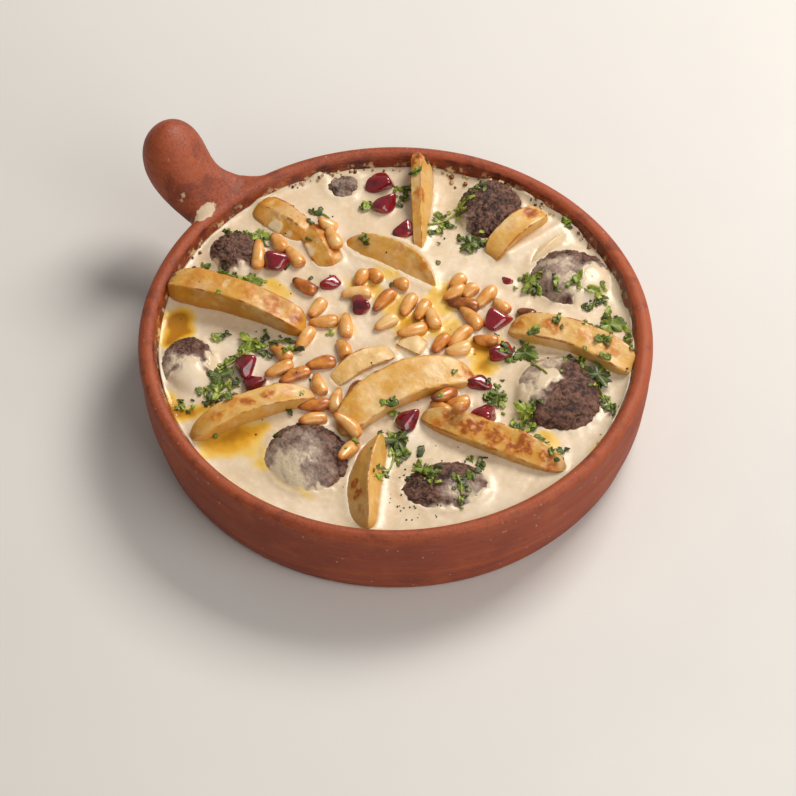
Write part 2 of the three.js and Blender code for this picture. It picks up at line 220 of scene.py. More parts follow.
def faceted_radius(unit, normals, distances, crispness):
    """The reach of a rounded many-sided body in each direction: the planes that bound it, given by their
    normals and distances, are blended by a power mean, and a higher power keeps the edges crisper."""
    facing = np.clip(unit @ np.transpose(normals) / distances, 0, None)
    return (facing**crispness).sum(-1) ** (-1 / crispness)


# %% [markdown]
# ## Helpers for materials
#
# A material is a small network of nodes. These helpers keep each recipe below short: one adds a node and
# feeds its inputs, others make the steps that come up again and again, such as a colour ramp or a mask from
# noise.


# %% Short ways to build node networks
def add(tree, kind, inputs=(), **settings):
    """Adds a node of that kind with its settings. Each input is a socket to link or a plain value to
    set."""
    item = tree.nodes.new(kind)
    for label, value in settings.items():
        setattr(item, label, value)
    for key, value in dict(inputs).items():
        if isinstance(value, bpy.types.NodeSocket):
            tree.links.new(value, item.inputs[key])
        else:
            item.inputs[key].default_value = value
    return item


def rgb(hexcode):
    """The linear colour of a six-digit hex colour."""
    parts = [int(hexcode[i:i + 2], 16) / 255 for i in (0, 2, 4)]
    return [p / 12.92 if p <= 0.04045 else ((p + 0.055) / 1.055) ** 2.4 for p in parts] + [1]


def calculate(tree, operation, first, second=0.0):
    return add(tree, "ShaderNodeMath", {0: first, 1: second}, operation=operation).outputs[0]


def plus(tree, first, second):
    return calculate(tree, "ADD", first, second)


def minus(tree, first, second):
    return calculate(tree, "SUBTRACT", first, second)


def times(tree, first, second):
    return calculate(tree, "MULTIPLY", first, second)


def remap(tree, value, low, high, to_low=0.0, to_high=1.0):
    values = {"Value": value, "From Min": low, "From Max": high, "To Min": to_low, "To Max": to_high}
    return add(tree, "ShaderNodeMapRange", values, interpolation_type="SMOOTHSTEP").outputs[0]


def varied(tree, noise_value, low, high):
    """A number that wanders from low to high with noise, most of which lies between 0.3 and 0.7."""
    return remap(tree, noise_value, 0.3, 0.7, low, high)


def ramp(tree, factor, *stops):
    """A colour ramp through stops of (place, hex colour)."""
    item = add(tree, "ShaderNodeValToRGB", {"Fac": factor})
    elements = item.color_ramp.elements
    while len(elements) < len(stops):
        elements.new(1)
    for element, (position, colour) in zip(elements, stops):
        element.position = position
        element.color = rgb(colour)
    return item.outputs["Color"]


def layered(tree, colour, *layers):
    """Lays further colours over the first, each where its own mask is 1. A colour is a socket or a hex
    colour."""
    for cover, above in layers:
        colours = {"Factor": cover, 6: colour, 7: rgb(above) if isinstance(above, str) else above}
        colour = add(tree, "ShaderNodeMix", colours, data_type="RGBA").outputs[2]
    return colour


def painted(tree, label):
    """A number that the piece's mesh carries."""
    return add(tree, "ShaderNodeAttribute", attribute_name=label).outputs["Fac"]


def place(tree):
    return add(tree, "ShaderNodeTexCoord").outputs["Object"]


def place_parts(tree):
    """The three Object coordinates of a surface point, apart."""
    return add(tree, "ShaderNodeSeparateXYZ", {"Vector": place(tree)}).outputs


def length_of(tree, vector):
    return add(tree, "ShaderNodeVectorMath", {0: vector}, operation="LENGTH").outputs["Value"]


def grain(tree, size, detail=5.0, roughness=0.6):
    """Noise from 0 to 1 whose largest features are about the given size in millimetres."""
    values = {"Vector": place(tree), "Scale": 1 / (size * MM), "Detail": detail, "Roughness": roughness}
    return add(tree, "ShaderNodeTexNoise", values).outputs["Fac"]


def bump(tree, height, strength, distance, normal=None):
    inputs = {"Height": height, "Strength": strength, "Distance": distance * MM}
    if normal is not None:
        inputs["Normal"] = normal
    return add(tree, "ShaderNodeBump", inputs).outputs["Normal"]


def new_material(name, **constants):
    """A material with a Principled shader whose constant sockets are set."""
    material = bpy.data.materials.new(name)
    material.use_nodes = True
    shader = material.node_tree.nodes["Principled BSDF"]
    for label, value in constants.items():
        shader.inputs[label.replace("_", " ")].default_value = value
    return material, material.node_tree, shader


def feed(tree, shader, **sockets):
    for label, socket in sockets.items():
        tree.links.new(socket, shader.inputs[label.replace("_", " ")])


# %% [markdown]
# ## Effects that several materials share
#
# Clay, meat, potato and sauce all have soft clouds of a second colour and small sharp specks. Each effect
# is a node group, built once, and every material sets its own scale and amount on it.


# %% Shared node groups
def new_group(name, inputs):
    """An empty group with those float inputs, given with their first values, and one output, the mask."""
    group = bpy.data.node_groups.new(name, "ShaderNodeTree")
    for label, value in inputs.items():
        group.interface.new_socket(label, in_out="INPUT", socket_type="NodeSocketFloat").default_value = value
    group.interface.new_socket("Mask", in_out="OUTPUT", socket_type="NodeSocketFloat")
    return group, add(group, "NodeGroupInput").outputs, add(group, "NodeGroupOutput").inputs


def cloud_group():
    """Soft-edged patches: noise of the given size in millimetres, cut between two thresholds."""
    group, given, result = new_group("clouds", {"Size": 10, "Low": 0.4, "High": 0.6, "Seed": 0})
    values = {"Vector": place(group), "W": given["Seed"], "Detail": 5.0, "Roughness": 0.6,
              "Scale": calculate(group, "DIVIDE", 1 / MM, given["Size"])}
    texture = add(group, "ShaderNodeTexNoise", values, noise_dimensions="4D")
    group.links.new(remap(group, texture.outputs["Fac"], given["Low"], given["High"]), result["Mask"])
    return group


def speck_group():
    """Small round specks: the cells of a pattern of random centres whose random value is under the share
    that shows, each filled out to the given radius, as a share of its cell."""
    group, given, result = new_group("specks", {"Size": 4, "Radius": 0.2, "Share": 0.3, "Seed": 0})
    values = {"Vector": place(group), "W": given["Seed"],
              "Scale": calculate(group, "DIVIDE", 1 / MM, given["Size"])}
    texture = add(group, "ShaderNodeTexVoronoi", values, voronoi_dimensions="4D")
    core = times(group, given["Radius"], 0.6)
    spot = remap(group, texture.outputs["Distance"], given["Radius"], core)
    chance = add(group, "ShaderNodeSeparateColor", {"Color": texture.outputs["Color"]}).outputs["Red"]
    shown = calculate(group, "LESS_THAN", chance, given["Share"])
    group.links.new(times(group, spot, shown), result["Mask"])
    return group


GROUPS = {"clouds": cloud_group(), "specks": speck_group()}


def mask(tree, kind, *values, strength=1.0):
    """A shared mask with its values in the group's own order, made weaker by the strength."""
    item = add(tree, "ShaderNodeGroup", node_tree=GROUPS[kind])
    for socket, value in zip(item.inputs, values):
        socket.default_value = value
    return times(tree, item.outputs["Mask"], strength)


# %% [markdown]
# ## The pan
#
# The pan is turned on a wheel: its wall leans out a little, swells, draws in under the lip, and the lip is
# a half round. Carrying that profile round the axis is the obvious way to make it. The potter's fingers
# leave low ridges that wander round the wall, so the radius also gets a small ripple that depends on height
# and angle.

# %% The profile of the pan
OUTSIDE = [[96, 0], [98.8, 0.2], [99.8, 1.6], [102.6, 12], [104.2, 25], [103.7, 31.4]]
INSIDE = [[97.6, 36.3], [96, 33], [93.5, 14], [91, 8.5], [86, 6]]
PROFILE_STEP = 0.65


def evenly(corners, step):
    """Points along a line through the corners, a step apart."""
    corners = np.array(corners, float)
    length = np.concatenate([[0], np.cumsum(np.linalg.norm(np.diff(corners, axis=0), axis=1))])
    where = np.linspace(0, length[-1], int(length[-1] / step) + 1)
    return np.stack([np.interp(where, length, axis) for axis in corners.T], -1)


def soften(line, reach):
    """Rounds the corners of a line: each point becomes the mean of the points up to reach steps away."""
    padded = np.pad(line, ((reach, reach), (0, 0)), "edge")
    window = np.ones(2 * reach + 1) / (2 * reach + 1)
    return np.stack([np.convolve(axis, window, "valid") for axis in padded.T], -1)


def pan_profile():
    """Radius and height from the middle of the base, up the wall, over the lip and down to the floor."""
    bend = np.linspace(0, math.pi, 15)
    lip = LIP_RADIUS * np.stack([np.cos(bend), np.sin(bend)], -1) + [LIP_MIDDLE, PAN_HEIGHT - LIP_RADIUS]
    wall = soften(evenly(np.vstack([OUTSIDE, lip, INSIDE]), PROFILE_STEP), 2)
    base = [[radius, 0] for radius in (20, 45, 65, 80, 90)]
    floor = [[radius, FLOOR_HEIGHT] for radius in (80, 60, 40, 20)]
    return np.vstack([base, wall, floor])


def out_of_round(angle):
    """How far the thrown wall strays inwards from a true circle."""
    return 0.16 * np.sin(2 * angle + 1) + 0.09 * np.sin(3 * angle) - 0.25


# %% [markdown]
# The handle is pulled from a lump of clay and pressed onto the wall. Oval sections are carried along its
# middle line: wide and low at the root, narrow at the waist, and a round knob at the end. Where it meets
# the wall the potter smooths a fillet, which is made as a swelling of the wall: a quarter circle of clay
# round the section.

# %% The pan's wall and handle
WALL_COLUMNS = 400
HANDLE_RINGS = 71
HANDLE_COLUMNS = 112
HANDLE_BURY = 3
HANDLE_ROOT = 29
ROOT_SKEW = 7
KNOB_SKEW = 3
KNOB_RADIUS = 14.9
KNOB_HEIGHT = 49
WAIST_RADIUS = 12.6
FLARE_REACH = 10
FLARE_WIDTH = 5
FLARE_DROP = 3.5
FILLET = 6.0
HANDLE_LENGTH = HANDLE_END - LIP_MIDDLE


def handle_sections(along):
    """Half width, half height, sideways offset and height of the middle line, at a distance from the lip.
    The part inside the wall is smaller, so that it stays there."""
    reach = np.maximum(along, 0)
    neck = HANDLE_LENGTH - KNOB_RADIUS
    flare = np.exp(-((reach / FLARE_REACH) ** 2))
    cap = np.sqrt(np.clip(1 - np.maximum(0, (reach - neck) / KNOB_RADIUS) ** 2, 0, 1))
    around = WAIST_RADIUS + (KNOB_RADIUS - WAIST_RADIUS) * smooth(reach, FLARE_REACH, neck)
    buried = 1 - 0.3 * smooth(-along, 1, HANDLE_BURY)
    wide = (around + FLARE_WIDTH * flare) * cap * buried
    high = (around - FLARE_DROP * flare) * cap * buried
    sideways = KNOB_SKEW * smooth(reach, FLARE_REACH, HANDLE_LENGTH) + ROOT_SKEW * flare
    middle = HANDLE_ROOT + (KNOB_HEIGHT - HANDLE_ROOT) * smooth(reach, -FLARE_REACH, HANDLE_LENGTH)
    return wide, high, sideways, middle


def fillet_push(points):
    """How far the wall swells out beside the handle. At a gap d from the handle's section the swelling is
    that of a quarter circle: FILLET less the root of FILLET squared less (FILLET - d) squared. The section
    is the one at the swelling's own distance from the wall, so the two are solved together in a few
    rounds."""
    depth = -points[..., 0] - LIP_MIDDLE
    push = np.zeros(depth.shape)
    for _ in range(10):
        wide, high, sideways, middle = handle_sections(np.clip(depth + push, 0, HANDLE_LENGTH / 2))
        across, up = points[..., 1] - sideways, points[..., 2] - middle
        size = np.hypot(across / wide, up / high)
        gap = np.hypot(across, up) * (1 - 1 / np.maximum(size, 1))
        bend = FILLET - np.sqrt(FILLET**2 - np.clip(FILLET - gap, 0, FILLET) ** 2)
        push = 0.5 * (push + bend)
    return push


def make_wall():
    """The profile carried round the axis: radius times cosine, radius times sine, and the height. Noise
    ridges the outside, and the fillet pushes the wall out beside the handle."""
    profile = pan_profile()
    across, up = directions(WALL_COLUMNS)
    radius, height = profile[:, :1], profile[:, 1:]
    angle = np.arctan2(up, across)
    row, crest = np.arange(len(profile))[:, None], int(height.argmax())
    outer = smooth(row, 6, 10) * smooth(row, crest - 3, crest - 12)
    sample = np.stack([2 * across + 0 * height, 2 * up + 0 * height, height / 2.4 + 0.4 * np.sin(angle)], -1)
    ridges = 0.26 * noise(sample, 3) + 0.14 * noise(sample * 2.1, 5)
    radius = radius + ridges * outer + out_of_round(angle) * smooth(radius, 60, 100)
    height = height + (0.25 * np.sin(2 * angle + 0.6) - 0.25) * smooth(height, 30, 39)
    rings = np.stack([radius * across, radius * up, height + 0 * angle], -1)
    side = (across < 0) * smooth(radius, LIP_MIDDLE - 1, LIP_MIDDLE + 2) * smooth(height, 8, 14)
    rings[..., 0] -= fillet_push(rings) * side
    return skin("clay_pan", rings, ([0, 0, 0], [0, 0, FLOOR_HEIGHT]))


def make_handle():
    """Ovals along the middle line: its offset less the half width times a cosine, and its height plus the
    half height times a sine. The places go as the sine of an even share of a quarter turn, so the rings
    crowd at the knob."""
    part = np.sin(np.linspace(0, math.pi / 2, HANDLE_RINGS + 1))[:-1]
    along = part * (HANDLE_LENGTH + HANDLE_BURY) - HANDLE_BURY
    wide, high, sideways, middle = (v[:, None] for v in handle_sections(along))
    across, up = directions(HANDLE_COLUMNS)
    far_out = -LIP_MIDDLE - along[:, None] + 0 * across
    rings = np.stack([far_out, sideways - wide * across, middle + high * up], -1)
    swell = 0.2 * rough(rings / 15, 8) + 0.05 * noise(rings * [0.12, 0.7, 0.7], 9) - 0.25
    rings[..., 1:] += swell[..., None] * np.stack([-across + 0 * wide, up + 0 * wide], -1)
    start = [HANDLE_BURY - LIP_MIDDLE, sideways[0, 0], middle[0, 0]]
    end = [0.2 - HANDLE_END, sideways[-1, 0], middle[-1, 0]]
    return skin("handle", rings, (start, end))


def unite(piece, other):
    """Joins another closed mesh to a piece and removes it."""
    union = piece.modifiers.new("union", "BOOLEAN")
    union.operation = "UNION"
    union.solver = "MANIFOLD"
    union.object = other
    shape = bpy.data.meshes.new_from_object(piece.evaluated_get(bpy.context.evaluated_depsgraph_get()))
    piece.modifiers.clear()
    piece.data = shape
    bpy.data.objects.remove(other)
    return piece


pan = unite(make_wall(), make_handle())
print("pan faces:", len(pan.data.polygons))

# %% [markdown]
# Terracotta is iron-rich clay fired at a low heat: matt, orange brown, with streaks from the wheel, pale
# flecks of chalk and dark pits. Inside and over the lip's inner edge a clear glaze darkens it and makes it
# shine. The streaks are noise stretched sideways, which is done by scaling only the height of the Object
# coordinates.

# %% Terracotta
SMEARS = [[[-103, -7.5, 40], [3.4, 6.5, 5]], [[-114, -7, 38], [2.2, 4.4, 8]]]


def smear(tree, middle, size):
    """A patch with a ragged edge: the distance from a point, measured in half sizes, plus noise, is cut
    off."""
    scale = Vector([1 / (s * MM) for s in size])
    values = {"Vector": place(tree), "Location": -Vector(middle) * MM * scale, "Scale": scale}
    far = length_of(tree, add(tree, "ShaderNodeMapping", values).outputs[0])
    return remap(tree, plus(tree, far, grain(tree, 4)), 1.5, 1.38)


def streaks(tree, length, height):
    """Noise drawn out sideways, as the wheel leaves it, with features of that length and height in
    millimetres."""
    scale = (1 / (length * MM), 1 / (length * MM), 1 / (height * MM))
    stretched = add(tree, "ShaderNodeMapping", {"Vector": place(tree), "Scale": scale}).outputs[0]
    values = {"Vector": stretched, "Scale": 1.0, "Detail": 6.0, "Roughness": 0.65}
    return add(tree, "ShaderNodeTexNoise", values).outputs["Fac"]


def terracotta():
    material, tree, shader = new_material("terracotta", IOR=1.45)
    broad, thin, fine = streaks(tree, 110, 2.6), streaks(tree, 26, 0.7), grain(tree, 1.1)
    pits = mask(tree, "specks", 5, 0.13, 0.25, 3)
    x, y, height = place_parts(tree)
    ring = length_of(tree, add(tree, "ShaderNodeCombineXYZ", {"X": x, "Y": y}).outputs[0])
    # Towards the top of the lip the clay turns a lighter orange with darker patches, and grows shinier.
    lip_top = remap(tree, height, 35 * MM, 39.3 * MM, 0.0, 0.6)
    wander = grain(tree, 9)
    inner = plus(tree, calculate(tree, "DIVIDE", ring, MM), times(tree, wander, 2.0))
    glaze = remap(tree, inner, LIP_MIDDLE - 1.6, LIP_MIDDLE - 2.6)
    tide = times(tree, glaze, mask(tree, "clouds", 3.4, 0.52, 0.62, 7))
    cream = calculate(tree, "MAXIMUM", *[smear(tree, *row) for row in SMEARS])
    colour = layered(
        tree, ramp(tree, broad, (0.3, "80392a"), (0.5, "9a4629"), (0.72, "ad5733")),
        (mask(tree, "clouds", 45, 0.42, 0.66, 2, strength=0.8), "7c3522"),
        (mask(tree, "clouds", 16, 0.52, 0.75, 5, strength=0.6), "b65e30"),
        (remap(tree, thin, 0.4, 0.28, 0.0, 0.45), "6a2f22"),
        (remap(tree, thin, 0.58, 0.72, 0.0, 0.35), "c99474"),
        (remap(tree, fine, 0.35, 0.75, 0.0, 0.3), "99482d"),
        (mask(tree, "specks", 2.4, 0.24, 0.3, 1, strength=0.7), "d2a486"),
        (times(tree, pits, 0.8), "3a1a14"),
        (times(tree, lip_top, remap(tree, fine, 0.3, 0.6)), "b05426"),
        (times(tree, lip_top, mask(tree, "clouds", 7, 0.5, 0.66, 9)), "6c2d18"),
        (glaze, ramp(tree, wander, (0.35, "521b0c"), (0.55, "873816"), (0.72, "a85624"))),
        (times(tree, tide, remap(tree, height, 38.2 * MM, 34.5 * MM)), "d0ae80"),
        (cream, "d9c3a3"))
    shine = calculate(tree, "MAXIMUM", glaze, times(tree, lip_top, 0.5))
    roughness = minus(tree, varied(tree, broad, 0.56, 0.74), times(tree, shine, 0.38))
    relief = plus(tree, broad, times(tree, thin, 0.7))
    relief = plus(tree, relief, times(tree, plus(tree, fine, cream), 0.5))
    normal = bump(tree, relief, 0.7, 0.5)
    normal = bump(tree, minus(tree, 1.0, pits), 0.6, 0.5, normal)
    feed(tree, shader, Base_Color=colour, Roughness=roughness, Normal=normal)
    return material


dress(pan, terracotta(), "terracotta", "pan")

# %% [markdown]
# ## The pile
#
# A cook scatters the pieces by hand, so no rule places them: each has its place and size in a table, as
# they lie in this dish. What comes later lies on what came before, so the shapes are kept in a list that
# can say how high the pile is at any point, by looking straight down.

# %% How high the pile is
HIGH_ABOVE = 200
DOWN = Vector((0, 0, -1))
pile = []


def add_to_pile(rings, ends=None):
    """Keeps a skin for later pieces to lie on."""
    ends = [np.reshape(point, (1, 3)) for point in ends or ends_of(rings)]
    points = np.vstack([rings.reshape(-1, 3), *ends])
    faces = [face for part in net(*rings.shape[:2]) for face in part.tolist()]
    pile.append(BVHTree.FromPolygons(points.tolist(), faces))


def sauce_height(x, y):
    """The sauce rolls softly: a few tenths of a millimetre up and down over some centimetres."""
    return SAUCE_LEVEL + 0.35 * np.sin(x / 11 + 1) * np.cos(y / 13) + 0.25 * np.sin((x - y) / 17)


def top_at(x, y):
    """The height of the pile's top at a place, and the slope there as an upward normal."""
    hits = [tree.ray_cast((x, y, HIGH_ABOVE), DOWN) for tree in pile]
    found = [(spot.z, tuple(normal)) for spot, normal, _, _ in hits if spot]
    return max(found + [(float(sauce_height(x, y)), (0.0, 0.0, 1.0))])


def inside_pan(points):
    """Keeps points clear of the pan: the radius is held under the wall's at the same height."""
    wall = [[INSIDE[-1][0], 0], *INSIDE[::-1], [LIP_MIDDLE, PAN_HEIGHT], [RIM_RADIUS, 2 * PAN_HEIGHT]]
    radii, heights = np.transpose(wall)
    limit = np.interp(points[..., 2], heights, radii) - CLEARANCE
    radius = np.maximum(np.hypot(points[..., 0], points[..., 1]), 1e-6)
    points[..., :2] *= np.minimum(1, limit / radius)[..., None]
    return points


# %% [markdown]
# ## Meatballs
#
# Each meatball is a flattened ball of coarse mince. Its table row gives the middle, the half sizes and the
# patches that the sauce has run over, as places on the ball from -1 to 1, across and away from the viewer,
# a radius, and how thick the sauce lies there. Lumps at several sizes make the crumbly surface, and they
# fade under the sauce, which fills the creases.

# %% Meatballs
MEATBALLS = [
    [[-82, -11, 28], [12.6, 13, 11.5], [[0.2, -1.15, 0.6, 0.9], [-0.9, -0.6, 0.4, 0.6]]],
    [[-76, 47, 25], [11.5, 10.5, 10.5],
     [[0, 0, 1.4, 0.2], [-0.95, 0.6, 0.6, 1.0], [0.5, -1.1, 0.5, 1.0], [1.1, 0.5, 0.4, 0.9]]],
    [[-21, 79, 30], [14.8, 17, 11], [[-1.1, -0.6, 0.5, 0.9]]],
    [[27, 75, 29], [18, 16.5, 10], [[-0.15, -0.15, 0.8, 0.4], [0.9, -0.35, 0.8, 1.0], [0.4, -0.9, 0.5, 0.9]]],
    [[66, 26, 29], [19.2, 21, 12],
     [[-0.7, 0.35, 0.8, 0.46], [-0.25, 0.95, 0.6, 0.5], [-0.2, 0.15, 0.28, 0.85], [-1.1, -0.2, 0.5, 1.0]]],
    [[65, -39, 29], [20, 14, 8.5],
     [[0.6, -0.5, 0.8, 0.42], [0.0, -1.15, 0.5, 0.9], [0.95, -0.35, 0.4, 0.9], [0.9, 0.3, 0.4, 0.4]]],
    [[15, -67, 29], [18.3, 19.5, 10.5],
     [[-0.35, -0.3, 1.0, 0.4], [-0.5, -0.65, 0.9, 0.57], [-1.2, -0.9, 0.8, 1.0], [0.1, -1.4, 0.7, 1.0]]],
    [[-53, -66, 29], [13, 16, 10],
     [[0.15, -0.7, 0.85, 1.0], [0.9, -0.2, 0.5, 0.9], [-0.6, -0.1, 0.45, 0.42]]],
]


def film_on(x, y, films, seed):
    """How thick the sauce lies on a ball, from 0 to 1, at places on it from -1 to 1. Each patch is full out
    to 0.4 of its radius and gone at 1.25 of it, and noise makes its edge ragged."""
    ragged = 0.16 * rough(np.stack([3.5 * x, 3.5 * y, 0 * x], -1), seed, 4)
    film = np.zeros(x.shape)
    for right, away, radius, strength in films:
        distance = np.hypot(x - right, y - away) + ragged
        film = np.maximum(film, strength * (1 - smooth(distance, radius * 0.4, radius * 1.25)))
    return film


def make_meatball(number, middle, size, films):
    """A ball with low swells. On it are lumps of about 2 and 4.5 mm, pushed out of their rows by noise,
    strands where stretched noise crosses zero, and cracks where soft noise does. Under the sauce they
    fade."""
    seed = number - 1
    unit = ball_directions(130, 190)
    x, y, z = np.moveaxis(unit, -1, 0)
    film = film_on(x, y, films, seed)
    swell = 0.06 * np.sin(3 * x + 2 * seed) * np.sin(4 * z + seed) * np.cos(2 * y - seed)
    ball = unit * (1 + swell)[..., None] * size
    warped = ball + 1.5 * np.stack([noise(ball / 3, seed + step) for step in (0, 9, 18)], -1)
    small = lumps(warped / 1.7, seed)
    strand = 1 - np.abs(rough(turned(warped, 35 * number) * [0.16, 0.62, 0.62], seed + 30, 4)) / 0.7
    crack = np.clip(1 - np.abs(noise(warped / 4, seed + 5)) / 0.2, 0, 1)
    crumbs = 0.25 * small + 0.15 * lumps(warped / 4.4, seed + 20) + 0.3 * strand
    crumbs = crumbs + 0.5 * rough(ball / 1.7, seed) - 0.4 * crack - 0.45
    ball += unit * (crumbs * (1 - film) ** 2)[..., None]
    ball = inside_pan(turned(ball, VIEW_TURN) + middle)
    add_to_pile(ball)
    # Painted shade: this mask is 0 down in the creases, where the meat is coloured darkest, and 1 on the
    # crests.
    crease = smooth(0.45 * small + 0.45 * strand + 0.3 * rough(ball / 0.9, seed) - 0.45 * crack, 0.0, 0.8)
    return skin(f"minced_ball_{number}", ball, film=film, crease=crease), ball


meatballs = [make_meatball(number, *row) for number, row in enumerate(MEATBALLS, 1)]
print("meatballs:", len(meatballs))

# %% [markdown]
# The meat is coarsely minced: grey brown and moist, with painted shade that darkens it down in the creases.
# Where the sauce has run over it, a thin whitish film lies on top and lets the meat show through, so film and
# meat are mixed by a mask that noise breaks.


# %% Minced meat
def minced_meat():
    material, tree, shader = new_material("minced_meat", Subsurface_Weight=0.08, Subsurface_Scale=0.002,
                                          Subsurface_Radius=(1.0, 0.5, 0.35))
    film = plus(tree, painted(tree, "film"), varied(tree, grain(tree, 6.5, 4.0, 0.6), -0.14, 0.14))
    # The first ramp is painted shade: darkest in the creases and lightest on the crests.
    colour = layered(
        tree, ramp(tree, painted(tree, "crease"), (0.0, "2e1810"), (0.4, "5c3929"), (1.0, "835a48")),
        (mask(tree, "clouds", 5, 0.45, 0.7, 1, strength=0.5), "6b4235"),
        # Pale mauve patches: paler bits of the meat, and partly a painted wet sheen.
        (mask(tree, "clouds", 1.3, 0.52, 0.7, 2, strength=0.45), "a08070"),
        (mask(tree, "specks", 1.8, 0.3, 0.22, 4), "22120d"),
        (remap(tree, film, 0.05, 0.5, 0.0, 0.75), "b9a494"),
        (remap(tree, film, 0.35, 0.62), "e2cfae"))
    wet = mask(tree, "clouds", 4, 0.48, 0.66, 6, strength=0.28)
    roughness = minus(tree, remap(tree, film, 0.1, 0.6, 0.52, 0.36), wet)
    bare = remap(tree, film, 0.5, 0.1, 0.25, 1.0)
    relief = times(tree, grain(tree, 1.1, 6.0, 0.75), bare)
    feed(tree, shader, Base_Color=colour, Roughness=roughness, Normal=bump(tree, relief, 0.8, 1.0))
    return material


dress_all([piece for piece, _ in meatballs], minced_meat(), "meat", "meatball")

# %% [markdown]
# ## Potato wedges
#
# A wedge is cut with flat faces and fried: the edges stay crisp and brown first, and blisters rise on the
# faces. Its section is a rounded polygon, given by the direction and distance of each face, and is carried
# along a line that may bow sideways and rise in the middle. Spots of browning or of sauce are painted where
# this dish has them, each by its share of the way, its angle round the wedge (0 right, 90 up), its size and
# its strength.

# %% Potato wedges
WEDGES = [
    {"line": [[-94, 14, 33], [-65, 16, 32]], "bow": 0, "rise": 0.5, "blunt": 6, "tone": 0.62,
     "faces": [[60, 4.3], [97, 5.2], [0, 6.4], [180, 7], [270, 6]],
     "brown": [[0.92, 60, 4, 0.5], [0.1, 110, 3, 0.5]], "cream": [[0.5, 20, 5, 0.9], [0.75, 30, 3, 0.6]]},
    {"line": [[-70, 21, 33], [-47, 12, 31]], "bow": 0, "rise": 0.5, "blunt": 6, "tone": 0.45,
     "faces": [[70, 4.6], [112, 4.8], [0, 6.6], [180, 6.6], [270, 6]],
     "brown": [[0.12, 110, 4, 0.8], [0.4, 112, 4, 0.6], [0.7, 118, 3, 0.7], [0.93, 80, 4, 0.5]],
     "cream": [[0.55, 10, 4, 0.8]]},
    {"line": [[-87, -44, 38], [-31, -21, 34]], "bow": -3, "rise": 2, "blunt": 10, "tone": 0.7,
     "faces": [[92, 6], [0, 5.2], [190, 5.5], [270, 8]],
     "brown": [[0.15, 100, 6, 0.5], [0.35, 92, 6, 0.45], [0.55, 95, 6, 0.6], [0.75, 92, 6, 0.7],
               [0.93, 85, 5, 0.8]]},
    {"line": [[-25, -92, 33], [-4, -42, 33]], "bow": -3, "rise": 3, "blunt": 4, "tone": 0.4,
     "faces": [[95, 5.5], [0, 5], [190, 5], [270, 8]],
     "brown": [[0.2, 95, 5, 0.7], [0.36, 105, 5, 0.6], [0.5, 92, 4, 0.8], [0.66, 100, 4, 0.8],
               [0.8, 95, 5, 0.5]]},
    {"line": [[58, -76, 34], [29, -38, 33]], "bow": -3, "rise": 1, "blunt": 4, "tone": 0.35,
     "faces": [[140, 5], [25, 5], [270, 7]],
     "brown": [[0.3, 135, 4, 1], [0.42, 150, 3, 0.9], [0.12, 120, 4, 0.6]]},
    {"line": [[94, 0, 33], [34, -20, 34]], "bow": 1, "rise": 1, "blunt": 4, "tone": 0.45,
     "faces": [[105, 5], [185, 6.5], [15, 6], [270, 7]],
     "brown": [[0.12, 105, 6, 0.8], [0.3, 98, 7, 1], [0.48, 108, 6, 0.8], [0.64, 100, 7, 1],
               [0.82, 105, 7, 0.8]]},
    {"line": [[81, 57, 33], [28, 38, 33]], "bow": 4, "rise": 3, "blunt": 7, "tone": 0.25,
     "faces": [[97, 5], [180, 7], [10, 6.5], [270, 7]],
     "brown": [[0.2, 90, 5, 0.6], [0.45, 100, 6, 0.5], [0.7, 95, 6, 0.7], [0.92, 90, 5, 0.7]]},
    {"line": [[-3, 93, 34], [-3, 60, 31]], "bow": 2, "rise": 2, "blunt": 7, "tone": 0.35,
     "faces": [[90, 5], [0, 5.5], [180, 5], [270, 7]], "brown": [[0.15, 85, 5, 0.9], [0.55, 80, 4, 0.3]]},
    {"line": [[10, 95, 29], [11, 65, 28]], "bow": 0, "rise": 1, "blunt": 3, "tone": 0.2,
     "faces": [[50, 4.6], [130, 4.6], [270, 6]], "cream": [[0.3, 90, 14, 1], [0.7, 90, 14, 1]]},
    {"line": [[-61, 77, 41], [-27, 43, 31]], "bow": 0, "rise": 0.5, "blunt": 8, "tone": 0.3,
     "faces": [[65, 4], [150, 3.2], [0, 3.2], [270, 6]],
     "brown": [[0.08, 65, 6, 0.9], [0.45, 100, 4, 0.8], [0.6, 60, 4, 0.5]]},
    {"line": [[-53, 25, 33], [-8, 32, 31]], "bow": -7, "rise": 2, "blunt": 4, "tone": 0.4,
     "faces": [[60, 3.5], [145, 5.5], [270, 6]], "brown": [[0.5, 100, 3, 0.5], [0.8, 100, 3, 0.6]]},
    {"line": [[16, -49, 33], [35, 10, 33]], "bow": -7, "rise": 2, "blunt": 7, "tone": 0.45,
     "faces": [[82, 5], [0, 7], [180, 9.5], [270, 7]], "brown": [[0.97, 80, 5, 0.8], [0.03, 90, 4, 0.8]]},
    {"line": [[-4, -33, 31], [3, -3, 31]], "bow": -2, "rise": 1, "blunt": 6, "tone": 0.05,
     "faces": [[85, 4.3], [0, 4.5], [180, 4.5], [270, 6]]},
    {"line": [[-1, 3, 31], [12, 6, 31]], "bow": 0, "rise": 0, "blunt": 5, "tone": 0.05,
     "faces": [[90, 4.2], [0, 4.5], [180, 4.5], [270, 6]]},
]
WEDGE_CRISPNESS = 26
WEDGE_RINGS = 104
WEDGE_COLUMNS = 100


def spots_on(points, spots, seed):
    """Soft round patches: each is strongest at its place on the surface and fades over its size, and noise
    makes its edge ragged."""
    rows, columns, _ = points.shape
    total = np.zeros((rows, columns))
    ragged = 0.45 * rough(points / 3, seed, 4)
    for way, angle, size, strength in spots:
        row = int(math.acos(1 - 2 * way) / math.pi * (rows - 1))
        column = round(-angle / 360 * columns) % columns
        distance = np.linalg.norm(points - points[row, column], axis=-1) / size
        total = np.maximum(total, strength * (1 - smooth(distance + ragged, 0.35, 1.15)))
    return total


